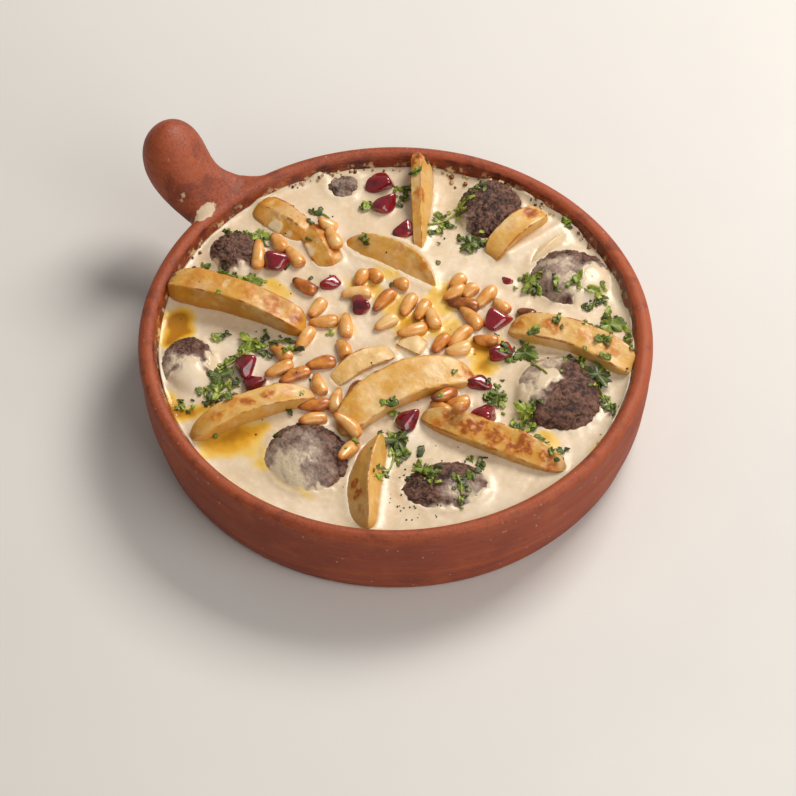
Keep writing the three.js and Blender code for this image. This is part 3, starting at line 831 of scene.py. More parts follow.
def make_wedge(number, line, bow, rise, blunt, tone, faces, brown=(), cream=()):
    """A rounded polygon carried along a line. The share of the way goes as half less half a cosine, so the
    rings crowd at the ends, and the section shrinks there by the root of 1 less (2 way - 1) to the power
    blunt."""
    seed = number - 1
    way = 0.5 - 0.5 * np.cos(math.pi * np.linspace(0, 1, WEDGE_RINGS + 2)[1:-1, None])
    arch = np.sin(math.pi * way)
    taper = np.sqrt(1 - np.abs(2 * way - 1) ** blunt)
    angle = -np.linspace(0, TURN, WEDGE_COLUMNS, endpoint=False)
    unit = np.stack([np.cos(angle), np.sin(angle)], -1)
    turn, distances = np.radians([face[0] for face in faces]), np.array([face[1] for face in faces])
    normals = np.stack([np.cos(turn), np.sin(turn)], -1)
    facing = np.sort(np.clip(unit @ normals.T / distances, 0, None), -1)
    radius = faceted_radius(unit, normals, distances, WEDGE_CRISPNESS) * taper
    radius = radius * (1 + 0.04 * np.sin(2 * angle + 7 * way + seed))
    start, end = np.array(line, float)
    right = np.cross(end - start, [0, 0, 1])
    right /= np.linalg.norm(right)
    up = np.cross(right, end - start)
    up /= np.linalg.norm(up)
    outward = unit[:, :1] * right + unit[:, 1:] * up
    body = start + way[..., None] * (end - start) + arch[..., None] * (bow * right + rise * up)
    body = body + radius[..., None] * outward
    toast = spots_on(body, brown, seed)
    coat = spots_on(body, cream, seed + 40)
    edge = smooth(facing[:, -2] / facing[:, -1], 0.84, 1.0) * (np.sin(angle) > -0.2) + 0 * way
    crisp = edge * smooth(rough(body / 4, seed + 6), -0.3, 0.5)
    blister = 0.5 * toast * lumps(body / 2.5, seed) + 0.35 * rough(body / 8, seed + 3) + 0.3 * crisp
    body = body + (taper * (blister - 0.3) + 0.6 * coat)[..., None] * outward
    body = inside_pan(body)
    add_to_pile(body)
    return skin(f"fried_wedge_{number}", body, toast=toast, coat=coat, edge=crisp, tone=tone), body


wedges = [make_wedge(number, **row) for number, row in enumerate(WEDGES, 1)]
print("wedges:", len(wedges))

# %% [markdown]
# Fried potato runs from pale cream, where it was only steamed in the oil, through gold to a brown crust.
# The tone of each wedge sets where it starts, noise mottles it, its cut edges are browner, and low down it
# has soaked up the golden oil that floats on the sauce.


# %% Fried potato
def fried_potato():
    material, tree, shader = new_material("fried_potato", Subsurface_Weight=0.25, Subsurface_Scale=0.003,
                                          Subsurface_Radius=(1.0, 0.6, 0.25), Coat_Roughness=0.25)
    soft, fine, tone = grain(tree, 9), grain(tree, 2.5, 6.0), painted(tree, "tone")
    shade = plus(tree, tone, varied(tree, soft, -0.2, 0.25))
    low = remap(tree, place_parts(tree)["Z"], 39 * MM, 33.5 * MM)
    edge = times(tree, painted(tree, "edge"), remap(tree, fine, 0.35, 0.55, 0.3, 1.0))
    toast = times(tree, painted(tree, "toast"), remap(tree, fine, 0.3, 0.55, 0.4, 1.0))
    coat = plus(tree, painted(tree, "coat"), times(tree, fine, 0.4))
    colour = layered(
        tree, ramp(tree, shade, (0.0, "e6c282"), (0.35, "deae59"), (0.65, "d49b33"), (1.0, "c0800c")),
        (mask(tree, "clouds", 4, 0.5, 0.68, 3, strength=0.45), "cf8c3c"),
        (mask(tree, "clouds", 6, 0.54, 0.72, 8, strength=0.6), "eed6a2"),
        (mask(tree, "clouds", 15, 0.5, 0.6, 11, strength=0.4), "e6cda0"),
        (times(tree, low, tone), "b87004"),
        (remap(tree, edge, 0.05, 0.6, 0.0, 0.9), "a05a1e"),
        (remap(tree, toast, 0.1, 0.7, 0.0, 0.85), "c9781c"),
        (remap(tree, toast, 0.55, 0.9), "a25412"),
        (mask(tree, "specks", 2.2, 0.16, 0.14, 2, strength=0.8), "6b3610"),
        (remap(tree, coat, 0.45, 1.0, 0.0, 0.9), "e4cda4"))
    feed(tree, shader, Base_Color=colour, Roughness=varied(tree, soft, 0.32, 0.5),
         Normal=bump(tree, fine, 0.45, 0.6), Coat_Weight=remap(tree, toast, 0.1, 0.6, 0.22, 0.02))
    return material


dress_all([piece for piece, _ in wedges], fried_potato(), "potato", "potato")

# %% [markdown]
# ## Pomegranate arils
#
# An aril is a juicy red coat round a seed, pressed flat on several sides by its neighbours in the fruit.
# Its shape is a ball bounded by seven rounded planes spread evenly round it. The golden angle spreads them
# without a pattern.

# %% Pomegranate arils
ARIL_SIZE = [5.2, 3.9, 3.6]
ARIL_CRISPNESS = 5
ARIL_PLANES = 7
GOLDEN_TURN = 2.4
ARILS = [
    [-65, 58, 60, 1.1, 1.6], [-55, 51, 80, 0.95, 1.5], [-39, 46, 60, 0.9, 0.5], [-65, -3, 70, 1.1, 1.6],
    [-42, 5, 75, 0.85, 0.2], [-25, 5, 150, 0.95, 1], [-35, -51, 130, 1.05, 2], [-26, -55, 60, 0.9, 1],
    [10, 56, 0, 0.5, -0.3], [22, 37, 60, 1.1, 1], [35, 26, 80, 0.95, 1.5], [39, 8, 30, 0.9, 0.6],
    [52, -3, 70, 1.05, 1.6], [32, -26, 100, 1, 1.5],
]


def make_aril(number, x, y, heading, size, lift):
    """A ball cut by seven planes whose edges are rounded over, stretched to an aril's three half sizes."""
    seed = number - 1
    side = np.arange(ARIL_PLANES)
    level = 1 - (2 * side + 1) / ARIL_PLANES
    turn = side * GOLDEN_TURN + seed
    ring = np.sqrt(1 - level**2)
    normals = np.stack([-ring * np.sin(turn), ring * np.cos(turn), level], -1)
    distances = 0.86 + 0.12 * cell_value(normals, seed)
    unit = np.roll(ball_directions(40, 56), 1, axis=-1)
    body = unit * faceted_radius(unit, normals, distances, ARIL_CRISPNESS)[..., None]
    body = body * (1 + 0.02 * noise(unit * 2, seed))[..., None] * np.array(ARIL_SIZE) * size
    body = turned(body, heading) + [x, y, sauce_height(x, y) + lift]
    add_to_pile(body)
    tip, bright = smooth(unit[..., 0], 0.55, 1.0), cell_value(np.array([x, y, 0.0]), 1)
    return skin(f"red_aril_{number}", body, tip=tip, bright=bright), body


arils = [make_aril(number, *row) for number, row in enumerate(ARILS, 1)]
print("arils:", len(arils))


# %% [markdown]
# The flesh is clear and deep red with a paler seed inside that glows through at one end. Letting light
# scatter under the surface does this without building the seed, and a clear coat gives the wet highlights.


# %% Pomegranate
def pomegranate():
    material, tree, shader = new_material(
        "pomegranate", Subsurface_Weight=0.3, Subsurface_Scale=0.003, Coat_Weight=1.0, Coat_Roughness=0.04,
        Subsurface_Radius=(1.0, 0.06, 0.08))
    colour = layered(
        tree, ramp(tree, grain(tree, 3.5), (0.35, "3a020b"), (0.5, "70061a"), (0.7, "a30d26")),
        (times(tree, painted(tree, "bright"), 0.6), "9c0c20"),
        (times(tree, painted(tree, "tip"), 0.6), "b8323a"))
    feed(tree, shader, Base_Color=colour, Roughness=varied(tree, grain(tree, 2.5), 0.1, 0.24),
         Normal=bump(tree, grain(tree, 3), 0.15, 0.4))
    return material


dress_all([piece for piece, _ in arils], pomegranate(), "pomegranate", "aril")

# %% [markdown]
# ## Pine nuts
#
# A pine nut is a drop with one blunt and one pointed end, a little flattened and bent. The shape is the
# same for all, so one set of arrays makes each of them, and they are dropped in turn: both ends rest on
# what lies below.

# %% Pine nuts
NUT_WIDTH = 2.7
NUT_THICKNESS = 2.2
NUT_SINK = 0.7
NUT_RINGS = 26
NUT_COLUMNS = 20
NUTS = [
    [-73, -6, -47, 15, 0.35], [-72, 5, -18, 11, 0.4], [-62, 4, -13, 12, 0.4], [-63, 25, 32, 9, 0.3],
    [-56, 21, -20, 11, 0.3], [-48, -4, 10, 12, 0.75], [-34, 15, 112, 9, 0.5], [-31, 20, -6, 8, 0.5],
    [-30, 8, 46, 13, 0.15], [-19, 13, 96, 13, 0.6], [-20, 24, 31, 7, 0.5], [-36, -9, 102, 11, 0.35],
    [-13, -17, -28, 10, 0.4], [-10, 5, 78, 11, 0.15], [-10, 18, 109, 12, 0.4], [-4, 20, 110, 11, 0.45],
    [2, 20, -31, 12, 0.35], [-30, -36, 0, 12, 0.4], [-28, -24, 106, 13, 0.35], [-14, -29, 59, 13, 0.65],
    [-24, -43, 73, 13, 0.4], [-17, -41, 73, 14, 0.65], [-7, -37, -28, 11, 0.4], [4, -38, -53, 13, 0.35],
    [-1, -46, 52, 13, 0.65], [18, -46, 7, 14, 0.4], [4, -52, 61, 12, 0.4], [26, -54, 103, 14, 0.35],
    [6, -29, 93, 10, 0.9], [-4, 41, 89, 9, 0.35], [3, 41, 90, 8, 0.3], [-1, 36, 86, 11, 0.4],
    [10, 43, 96, 13, 0.4], [6, 34, 35, 13, 0.85], [18, 44, -5, 9, 0.4], [29, 47, 1, 10, 1],
    [14, 12, 99, 11, 0.6], [26, 26, 36, 11, 0.6], [21, 15, 64, 11, 0.15], [37, -12, 6, 10, 0.45],
    [46, -11, -6, 8, 0.4], [40, -5, 56, 10, 0.5], [-21, -7, -44, 13, 0.35], [-29, -12, 50, 12, 0.4],
    [1, 9, 67, 13, 0.4], [13, 31, -13, 14, 0.45], [17, 20, 96, 14, 0.4], [34, -7, 84, 13, 0.7],
]


def make_nut(seed, x, y, heading, length):
    """Half the length times minus a cosine along the nut, and a girth of a sine to the power 0.6, fuller at
    one end. The nut then bends sideways by the square of the place along it, tips to the slope and
    turns."""
    bend = np.linspace(0, math.pi, NUT_RINGS + 2)[1:-1, None]
    across, up = directions(NUT_COLUMNS)
    girth = np.sin(bend) ** 0.6 * (1.05 - 0.3 * np.cos(bend))
    curve = (cell_value(np.array([x, y, 0.0]), 2) - 0.5) * 1.8
    along = -0.5 * length * np.cos(bend) + 0 * across
    sideways = NUT_WIDTH * girth * across + curve * (np.cos(bend) ** 2 - 0.5)
    body = np.stack([along, sideways, NUT_THICKNESS * girth * up], -1)
    body = body * (1 + 0.05 * noise(body / 3, seed))[..., None]
    turn, reach = math.radians(heading), length * 0.3
    step_x, step_y = reach * math.cos(turn), reach * math.sin(turn)
    head, tail = top_at(x + step_x, y + step_y)[0], top_at(x - step_x, y - step_y)[0]
    middle = max((head + tail) / 2, top_at(x, y)[0]) + NUT_THICKNESS - NUT_SINK
    slope = math.atan2(head - tail, 2 * reach)
    place_on = Matrix.Rotation(turn, 3, "Z") @ Matrix.Rotation(-slope, 3, "Y")
    body = body @ np.array(place_on).T + [x, y, middle]
    add_to_pile(body)
    ends = -np.cos(bend) + 0 * across
    # Both ends are browned by toasting, and the lower side of each nut is coloured darker as well.
    browned = smooth(ends, -0.55, -1.0) + 0.6 * smooth(ends, 0.8, 1.0) + 0.5 * smooth(-up, -0.65, 0.2)
    return body, browned


made = [make_nut(seed, *row[:4]) for seed, row in enumerate(NUTS)]
nut_rings, nut_browned = (np.array(part) for part in zip(*made))
nuts = skin("pine_nuts", nut_rings, tone=np.array(NUTS)[:, 4:, None], browned=nut_browned)
print("pine nuts:", len(nut_rings))


# %% Toasted pine nut
def toasted_nut():
    material, tree, shader = new_material("toasted_pine_nut", Subsurface_Weight=0.15, Subsurface_Scale=0.002,
                                          Coat_Weight=0.5, Coat_Roughness=0.15)
    soft = grain(tree, 5)
    tone = plus(tree, painted(tree, "tone"), varied(tree, soft, -0.18, 0.18))
    tone = plus(tree, tone, times(tree, painted(tree, "browned"), 0.34))
    colour = ramp(tree, tone, (0.0, "f0ca88"), (0.3, "e9b168"), (0.5, "dd963f"), (0.7, "c47026"),
                  (1.0, "70330f"))
    feed(tree, shader, Base_Color=colour, Roughness=varied(tree, soft, 0.25, 0.4),
         Normal=bump(tree, grain(tree, 1.5), 0.15, 0.3))
    return material


dress(nuts, toasted_nut(), "pine_nut", "sauce")

# %% [markdown]
# ## The sauce
#
# The sauce fills the pan to seven millimetres under the rim. Its top is a surface over rings and spokes:
# the soft roll, fine ripples from stirring, and a small climb wherever it wets a piece or the wall. A
# liquid climbs a wetted edge by a height that falls off exponentially with the distance, so the distance to
# the nearest outline is needed.

# %% Sauce
OIL = [
    [-74, -54, 5, 1], [-73, -50, 5, 1], [-68, -58, 5, 1], [-67, -63, 4, 0.9], [-66, -53, 3, 0.7],
    [-47, -83, 3, 0.9], [-42, -86, 4, 1], [-37, -86, 4, 1], [-34, -82, 3, 0.9], [-33, -77, 3, 0.8],
    [-32, -73, 2, 0.6], [-21, -88, 4, 0.6], [-17, -82, 6, 0.7], [-13, -76, 6, 0.7], [-9, -71, 4, 0.65],
    [-9, -66, 3, 0.6], [-11, -86, 6, 0.45], [-5, -79, 6, 0.45], [-15, -91, 4, 0.4], [4, -81, 5, 0.35],
    [11, -80, 6, 0.35], [17, -80, 4, 0.3], [25, -80, 4, 0.3], [30, -79, 3, 0.3], [-61, -13, 4, 0.45],
    [-56, -12, 4, 0.5], [-51, -11, 4, 0.4], [-35, 11, 5, 0.5], [-29, 11, 5, 0.53], [-27, 16, 4, 0.5],
    [-19, 14, 5, 0.5], [-12, 12, 5, 0.5], [-16, 20, 4, 0.43], [-2, 10, 6, 0.5], [-5, 16, 5, 0.5],
    [-32, 23, 4, 0.37], [-27, 26, 4, 0.43], [2, 12, 6, 0.53], [3, 19, 5, 0.5], [11, 18, 5, 0.5],
    [10, 25, 4, 0.5], [-6, 26, 5, 0.53], [-6, 33, 5, 0.53], [-4, 38, 5, 0.5], [2, 37, 5, 0.53],
    [8, 36, 4, 0.5], [2, 28, 4, 0.56], [17, 19, 4, 0.5], [24, 22, 5, 0.59], [29, 21, 6, 0.62],
    [35, 18, 5, 0.59], [34, 14, 4, 0.5], [31, 25, 4, 0.43], [30, 30, 3, 0.5], [77, 6, 4, 0.6],
    [82, 6, 4, 0.5], [96, 14, 4, 0.35], [96, 20, 4, 0.4], [97, 26, 4, 0.4], [97, 32, 3, 0.4],
    [-60, 90, 4, 0.5], [-54, 90, 4, 0.5], [-57, 85, 3, 0.4], [-25, -4, 4, 0.5], [-25, -9, 3, 0.4],
    [-18, -7, 4, 0.4], [3, 1, 4, 0.4],
]
CREAM_RIDGE = np.array([[2, 66], [6, 92]])
RIDGE_HEIGHT = 2.2
RIDGE_WIDTH = 2.4
FILM_EDGE = 0.6
SOFT_CORNER = 0.7
SAUCE_BOTTOM = 6.4
SAUCE_SIDE = [[85.6, 6.6], [90.4, 8.9], [93, 14], [95.3, 31]]
SAUCE_RINGS = 165
SAUCE_COLUMNS = 520


def outline(body, reach=0.5):
    """The points of a body that lie about at the sauce's surface."""
    points = body.reshape(-1, 3)
    return points[np.abs(points[:, 2] - sauce_height(points[:, 0], points[:, 1])) < reach, :2]


def climb(x, y, edges, height, length):
    """Height times the exponential of minus the distance to the nearest outline over length."""
    rise = np.zeros(x.shape)
    for edge in edges:
        if not len(edge):
            continue
        low, high = edge.min(0) - 4 * length, edge.max(0) + 4 * length
        close = (x > low[0]) & (x < high[0]) & (y > low[1]) & (y < high[1])
        spots = np.stack([x[close], y[close]], -1)
        gap = np.linalg.norm(spots[:, None] - edge, axis=-1).min(1)
        rise[close] = np.maximum(rise[close], height * np.exp(-gap / length))
    return rise


def draped(x, y, level):
    """The sauce laid over the meatballs. The top of each ball is found by looking straight down, and raised
    where the film is thick and lowered where it is thin. The higher of it and the sauce is taken with a
    soft corner: SOFT_CORNER times the logarithm of the sum of their exponentials."""
    for seed, (middle, size, films) in enumerate(MEATBALLS):
        flat = turned(np.stack([x - middle[0], y - middle[1], 0 * x], -1), -VIEW_TURN)
        across, away = flat[..., 0] / size[0], flat[..., 1] / size[1]
        over = np.hypot(across, away) < 1.15
        hits = [pile[seed].ray_cast((*spot, HIGH_ABOVE), DOWN)[0] for spot in zip(x[over], y[over])]
        top = np.array([hit.z if hit else 0 for hit in hits])
        film = film_on(across[over], away[over], films, seed) - FILM_EDGE
        cover = top + np.minimum(1.2 * film, 6 * film)
        level[over] = SOFT_CORNER * np.logaddexp(level[over] / SOFT_CORNER, cover / SOFT_CORNER)
    return level


def make_sauce():
    """Rings of shrinking radius over a skirt that follows the wall. The ridge of cream is a bell: its height
    times the exponential of minus the square of the distance over its width. The oil is a sum of bells."""
    across, up = directions(SAUCE_COLUMNS)
    angle = np.arctan2(up, across)
    stray = out_of_round(angle)
    low = np.array([[radius, SAUCE_BOTTOM] for radius in (20, 45, 65, 80)] + SAUCE_SIDE)
    wall = np.stack([low[:, :1] + stray, low[:, 1:] + 0 * stray], -1)
    radius = np.linspace([96.6], [0.7], SAUCE_RINGS) + stray * np.linspace([1], [0], SAUCE_RINGS)
    x, y = radius * across, radius * up
    flat = np.stack([x, y, 0 * x], -1)
    ripple = 0.22 * rough(flat / 9 + 0.6 * noise(flat / 14, 4)[..., None], 6) + 0.05 * noise(flat / 1.8, 7)
    spots = np.stack([9 * across, 9 * up, 0 * up], -1)
    splash = 2.2 * np.clip(rough(spots, 15), 0, 1) * smooth(up, -0.1, 0.5)
    edge = np.exp(-(radius[0] - radius) / 1.3)
    level = sauce_height(x, y) + ripple + (1.0 + splash) * edge
    level += climb(x, y, [outline(body) for _, body in meatballs + wedges], 0.9, 1.6)
    start, end = CREAM_RIDGE
    length = end - start
    way = (x - start[0]) * length[0] + (y - start[1]) * length[1]
    way = np.clip(way / (length @ length), 0, 1)
    beside = np.hypot(x - start[0] - way * length[0], y - start[1] - way * length[1])
    level = draped(x, y, level + RIDGE_HEIGHT * np.exp(-((beside / RIDGE_WIDTH) ** 2)))
    level += climb(x, y, [outline(body) for _, body in arils], 0.5, 1.0)
    level += climb(x, y, [outline(body) for body in nut_rings], 0.45, 0.8)
    spread = 1 + 0.003 * splash * edge
    x, y = x * spread, y * spread
    skirt = np.concatenate([wall[..., :1] * across[:, None], wall[..., :1] * up[:, None], wall[..., 1:]], -1)
    rings = np.concatenate([skirt, np.stack([x, y, level], -1)])
    oil, wander = np.zeros(x.shape), rough(flat / 5, 12)
    for middle_x, middle_y, size, strength in OIL:
        oil += strength * np.exp(-((x - middle_x) ** 2 + (y - middle_y) ** 2) / size**2)
    oil = smooth(oil + 0.14 * wander, 0.02, 1.4)
    oil = np.vstack([np.zeros(wall.shape[:2]), oil])
    ends = [0, 0, SAUCE_BOTTOM], [0, 0, level[-1].mean()]
    add_to_pile(rings, ends)
    return skin("cream_sauce", rings, ends, oil=oil)


sauce = make_sauce()
print("sauce faces:", len(sauce.data.polygons))


# %% [markdown]
# The sauce is opaque cream with a soft shine. Light goes a little way into it, so it has some scattering
# under the surface. Golden butter floats in pools where the nuts were poured on, glossier than the sauce
# around them.


# %% Cream sauce
def cream_sauce():
    material, tree, shader = new_material(
        "cream_sauce", Subsurface_Weight=0.2, Subsurface_Scale=0.003, Subsurface_Radius=(1.0, 0.7, 0.4),
        Coat_Weight=0.25, Coat_Roughness=0.15)
    soft, oil = grain(tree, 22), painted(tree, "oil")
    colour = layered(
        tree, ramp(tree, soft, (0.3, "dec6a3"), (0.5, "e5d0b1"), (0.7, "ecdcc4")),
        (mask(tree, "clouds", 7, 0.5, 0.75, 3, strength=0.4), "dbbf95"),
        (mask(tree, "clouds", 2.2, 0.5, 0.66, 9, strength=0.35), "f2e6d0"),
        (mask(tree, "specks", 3, 0.1, 0.12, 5, strength=0.6), "8a6a3c"),
        (remap(tree, oil, 0.0, 0.28, 0.0, 0.9), "edc658"),
        (remap(tree, oil, 0.25, 0.7), "e0a728"),
        (remap(tree, oil, 0.65, 1.0), "b5780a"))
    roughness = minus(tree, varied(tree, soft, 0.32, 0.44), times(tree, oil, 0.22))
    feed(tree, shader, Base_Color=colour, Roughness=roughness, Normal=bump(tree, grain(tree, 3.2), 0.2, 0.6))
    return material


dress(sauce, cream_sauce(), "sauce", "sauce")

# %% [markdown]
# ## Parsley
#
# The larger bits of parsley are leaflets with three lobes, thin and wavy. Each is a blade whose outline is
# a wave in polar coordinates, notched and folded, laid on the slope that it fell on. Its solid gives its
# place.

# %% Parsley leaves
LEAVES = [
    [-81, 3, 20, 5], [-66, -18, 20, 5.5], [-39, -62, 70, 7], [-43, -40, 60, 5.5], [-14, 60, 20, 5.5],
    [18, 61, 45, 5.5], [57, 67, 45, 6.5], [42, 32, 10, 6], [72, 43, -15, 8], [64, 9, 60, 5.5],
    [49, 9, 60, 4.5], [36, -36, -20, 7], [54, -40, 0, 5],
]
LEAF_SHARES = np.array([0.25, 0.5, 0.75, 0.93, 1.0, 1.0, 0.93, 0.75, 0.5, 0.25])[:, None]
LEAF_SIDES = np.array([-1, -1, -1, -1, -0.6, 0.6, 1, 1, 1, 1])[:, None]
LEAF_THICKNESS = 0.4
LEAF_COLUMNS = 108


def frame_on(normal, heading):
    """A turn that lays a flat thing on a slope, headed the given way."""
    up = Vector(normal).normalized()
    forward = Vector((math.cos(math.radians(heading)), math.sin(math.radians(heading)), 0))
    side = up.cross(forward).normalized()
    return np.array([side.cross(up), side, up])


def make_leaf(number, x, y, heading, size):
    """Three lobes from a cosine of one and a half times the angle, each notched by one three times as fast,
    with one lobe longer than the others. The blade goes out along the underside, round the edge and back
    over the top. It folds along its lobes and curls at the edge."""
    seed = number - 1
    angle = np.linspace(0, TURN, LEAF_COLUMNS, endpoint=False)
    lobe = np.abs(np.cos(1.5 * angle)) ** 0.8
    notch = np.abs(np.cos(4.5 * angle + 0.4 * np.sin(angle + seed))) ** 0.6
    teeth = 0.05 * np.sin(13 * angle + 2 * seed) + 0.04 * np.sin(19 * angle + seed)
    reach = size * (0.24 + 0.46 * lobe + 0.26 * notch * lobe + teeth) * (1 + 0.16 * np.cos(angle - seed))
    wave = size * (0.2 * np.sin(2 * angle + seed) + 0.1 * np.sin(6 * angle + 3 * seed) - 0.12 * lobe)
    height = wave * LEAF_SHARES**2 + LEAF_SIDES * LEAF_THICKNESS / 2
    flat_x, flat_y = LEAF_SHARES * reach * np.cos(angle), LEAF_SHARES * reach * np.sin(angle)
    body = np.stack([flat_x, flat_y, height], -1)
    low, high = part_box(f"parsley_{number}")
    middle = (low.z + high.z) / 2 / MM
    slope = np.array(top_at(x, y)[1]) + [0, 0, 0.6]
    body = body @ frame_on(slope, heading) + [x, y, middle]
    vein = np.abs(np.sin(1.5 * angle)) * LEAF_SHARES
    fresh = cell_value(np.array([x, y, 1.0]), 3)
    return skin(f"parsley_leaf_{number}", body, vein=vein, fresh=fresh)


leaves = [make_leaf(number, *row) for number, row in enumerate(LEAVES, 1)]
print("leaves:", len(leaves))

# %% [markdown]
# The chopped parsley is hundreds of scraps no bigger than a few millimetres. They lie in drifts, so the
# table gives the middle of each small heap, and a few scraps of random outline fall round it. A shape that
# is used hundreds of times is kept light: two rings for each side of a blade.

# %% Chopped parsley
HEAPS = """-90,-5 -85,-1 -82,0 -78,2 -77,-22 -73,-21 -70,-18 -67,-16 -64,-14 -85,-25 -54,-47 -39,-38 -40,-33
-35,-31 -33,-28 -40,-40 -41,-45 -41,-50 -43,-53 -41,-59 -36,-60 -32,-60 -39,-56 -42,-61 -42,-47 -37,-41
-33,-36 -28,-32 -39,-72 -35,-72 -34,-69 -34,-66 -31,-63 -32,-73 -28,-71 -28,-64 -37,-83 -40,-81 -54,68
-56,63 -52,58 -55,60 -53,63 -60,46 -47,30 -29,58 -31,63 -28,63 -30,68 -28,71 -29,76 -30,82 -30,54 -34,63
-19,60 -13,60 -12,63 -12,65 3,99 7,98 10,96 14,60 18,62 19,65 22,60 26,68 29,65 35,72 43,69 42,76 43,72
46,76 55,71 58,73 65,71 57,81 67,67 72,64 49,61 54,61 62,54 66,57 43,50 37,28 40,27 39,32 40,36 38,39 61,44
66,43 71,41 75,39 80,37 84,36 69,49 86,35 63,12 66,10 66,6 63,3 66,1 70,7 78,5 76,3 87,2 87,4 44,13 48,10
49,6 53,6 46,6 22,-27 24,-25 32,-37 36,-39 34,-33 37,-34 41,-40 43,-37 42,-44 44,-51 44,-54 51,-39 54,-40
58,-40 62,-41 63,-23 67,-22 67,-34 72,-37 75,-40 71,-31"""
FLAKES = """-72,29 -60,46 -54,65 -55,-47 -33,-69 33,74 41,75 62,55 77,3 23,-27 70,-34 -27,61 46,-33"""
FLAKE_SIZE = 2.6
SCRAP_SHARES = np.array([0.6, 1.0, 1.0, 0.6])[:, None]
SCRAP_SIDES = np.array([-1, -0.7, 0.7, 1])[:, None]
SCRAP_COLUMNS = 14
SCRAPS_IN_HEAP = 5
chance = np.random.default_rng(7)


def places_in(text):
    return np.array([pair.split(",") for pair in text.split()], float)


def make_scraps(places, sizes):
    """Blades of random ragged outline with up to three lobes, stretched one way, folded along their length
    and tipped at random on the slope that they landed on."""
    bodies = []
    angle = np.linspace(0, TURN, SCRAP_COLUMNS, endpoint=False)
    for (x, y), size in zip(places, sizes):
        lobes = np.abs(np.cos(0.5 * chance.integers(1, 4) * (angle + chance.uniform(0, 1))))
        ragged = 0.35 + 0.6 * lobes + chance.uniform(-0.16, 0.16, SCRAP_COLUMNS)
        reach = SCRAP_SHARES * size * ragged
        flat_x, flat_y = reach * np.cos(angle) * chance.uniform(1, 1.7), reach * np.sin(angle)
        fold, twist = chance.uniform(-0.2, 0.9), chance.uniform(-0.5, 0.5)
        height = (fold * np.abs(flat_y) + twist * flat_x * flat_y / size) + SCRAP_SIDES * 0.14
        body = np.stack([flat_x, flat_y, height], -1)
        level, normal = top_at(x, y)
        tip = np.array(normal) + [*chance.normal(0, 0.3, 2), 0.5]
        bodies.append(body @ frame_on(tip, chance.uniform(0, 360)) + [x, y, level + 0.3 + 0.08 * size])
    return np.array(bodies)


heaps = places_in(HEAPS)
near_heaps = np.repeat(heaps, SCRAPS_IN_HEAP, 0)
near_heaps += chance.normal(0, 1.6, near_heaps.shape)
scattered = chance.uniform(-88, 88, (40, 2))
scattered = scattered[np.hypot(*scattered.T) < 90]
flakes = places_in(FLAKES)
scrap_places = np.vstack([near_heaps, scattered, flakes])
random_sizes = chance.uniform(0.5, 1.9, len(near_heaps) + len(scattered))
scrap_sizes = np.append(random_sizes, np.full(len(flakes), FLAKE_SIZE))
scraps = make_scraps(scrap_places, scrap_sizes)
chopped = skin("chopped_parsley", scraps, vein=0.5, fresh=chance.uniform(0, 1, (len(scraps), 1, 1)))
print("scraps of parsley:", len(scraps))

# %% [markdown]
# A few stalks are left among the scraps. Each is a thin tube that follows the pile: the middle line runs
# through the table's places, lifted to the height of the pile, and a circle is carried along it.

# %% Parsley stalks
STALKS = [
    [[43, 35], [47, 31], [50, 29], [55, 28], [59, 27]], [[-75, 28], [-72, 29], [-70, 30], [-67, 30]],
    [[-34, 55], [-31, 61], [-30, 68], [-29, 76]], [[-77, -22], [-72, -20], [-67, -17], [-63, -14]],
    [[61, 45], [68, 43], [75, 40], [83, 36]], [[36, -40], [40, -42], [43, -47], [44, -54]],
    [[-42, -60], [-41, -52], [-41, -45], [-37, -36]], [[67, -34], [71, -36], [75, -40]],
]
STALK_RINGS = 26
STALK_COLUMNS = 8


def make_stalk(corners):
    """A tube along a line over the pile, thinner towards its end."""
    line = evenly(corners, 0.6)
    where = np.linspace(0, len(line) - 1, STALK_RINGS)
    line = np.stack([np.interp(where, np.arange(len(line)), axis) for axis in line.T], -1)
    height = np.array([top_at(*point)[0] for point in line.tolist()])
    height = np.convolve(np.pad(height, 2, "edge"), np.ones(5) / 5, "valid") + 0.5
    middle = np.column_stack([line, height])
    ahead = np.gradient(middle, axis=0)
    ahead /= np.linalg.norm(ahead, axis=1, keepdims=True)
    side = np.cross([0, 0, 1], ahead)
    up = np.cross(ahead, side)
    across, around = directions(STALK_COLUMNS)
    radius = np.linspace(0.5, 0.3, len(middle))[:, None, None]
    return middle[:, None] + radius * (across[:, None] * side[:, None] + around[:, None] * up[:, None])


tubes = np.array([make_stalk(corners) for corners in STALKS])
stalks = skin("parsley_stalks", tubes, vein=0.8, fresh=0.9)
print("stalks:", len(tubes))


# %% Parsley
def parsley():
    material, tree, shader = new_material("parsley", Subsurface_Weight=0.1, Subsurface_Scale=0.001,
                                          Coat_Weight=0.2, Coat_Roughness=0.2)
    soft = grain(tree, 2)
    shade = plus(tree, painted(tree, "fresh"), varied(tree, soft, -0.25, 0.25))
    colour = layered(
        tree, ramp(tree, shade, (0.0, "303c0a"), (0.4, "4e5f10"), (0.75, "768a1e"), (1.0, "a5b23e")),
        (remap(tree, painted(tree, "vein"), 0.12, 0.0, 0.0, 0.5), "93a345"))
    feed(tree, shader, Base_Color=colour, Roughness=varied(tree, soft, 0.38, 0.58),
         Normal=bump(tree, grain(tree, 0.9), 0.35, 0.3))
    return material


green = parsley()
dress_all(leaves, green, "parsley", "parsley")
dress(chopped, green, "parsley")
dress(stalks, green, "parsley")

# %% [markdown]
# ## Crumbs and pepper
#
# While the dish stood in the oven, splashes of sauce baked onto the far wall in crumbs from cream to brown,
# and ground pepper lies over everything. Both are tiny lumps: a ball with a few rings, squashed and
# roughened.


# %% Baked crumbs and pepper
LUMP_SQUASH = 0.8


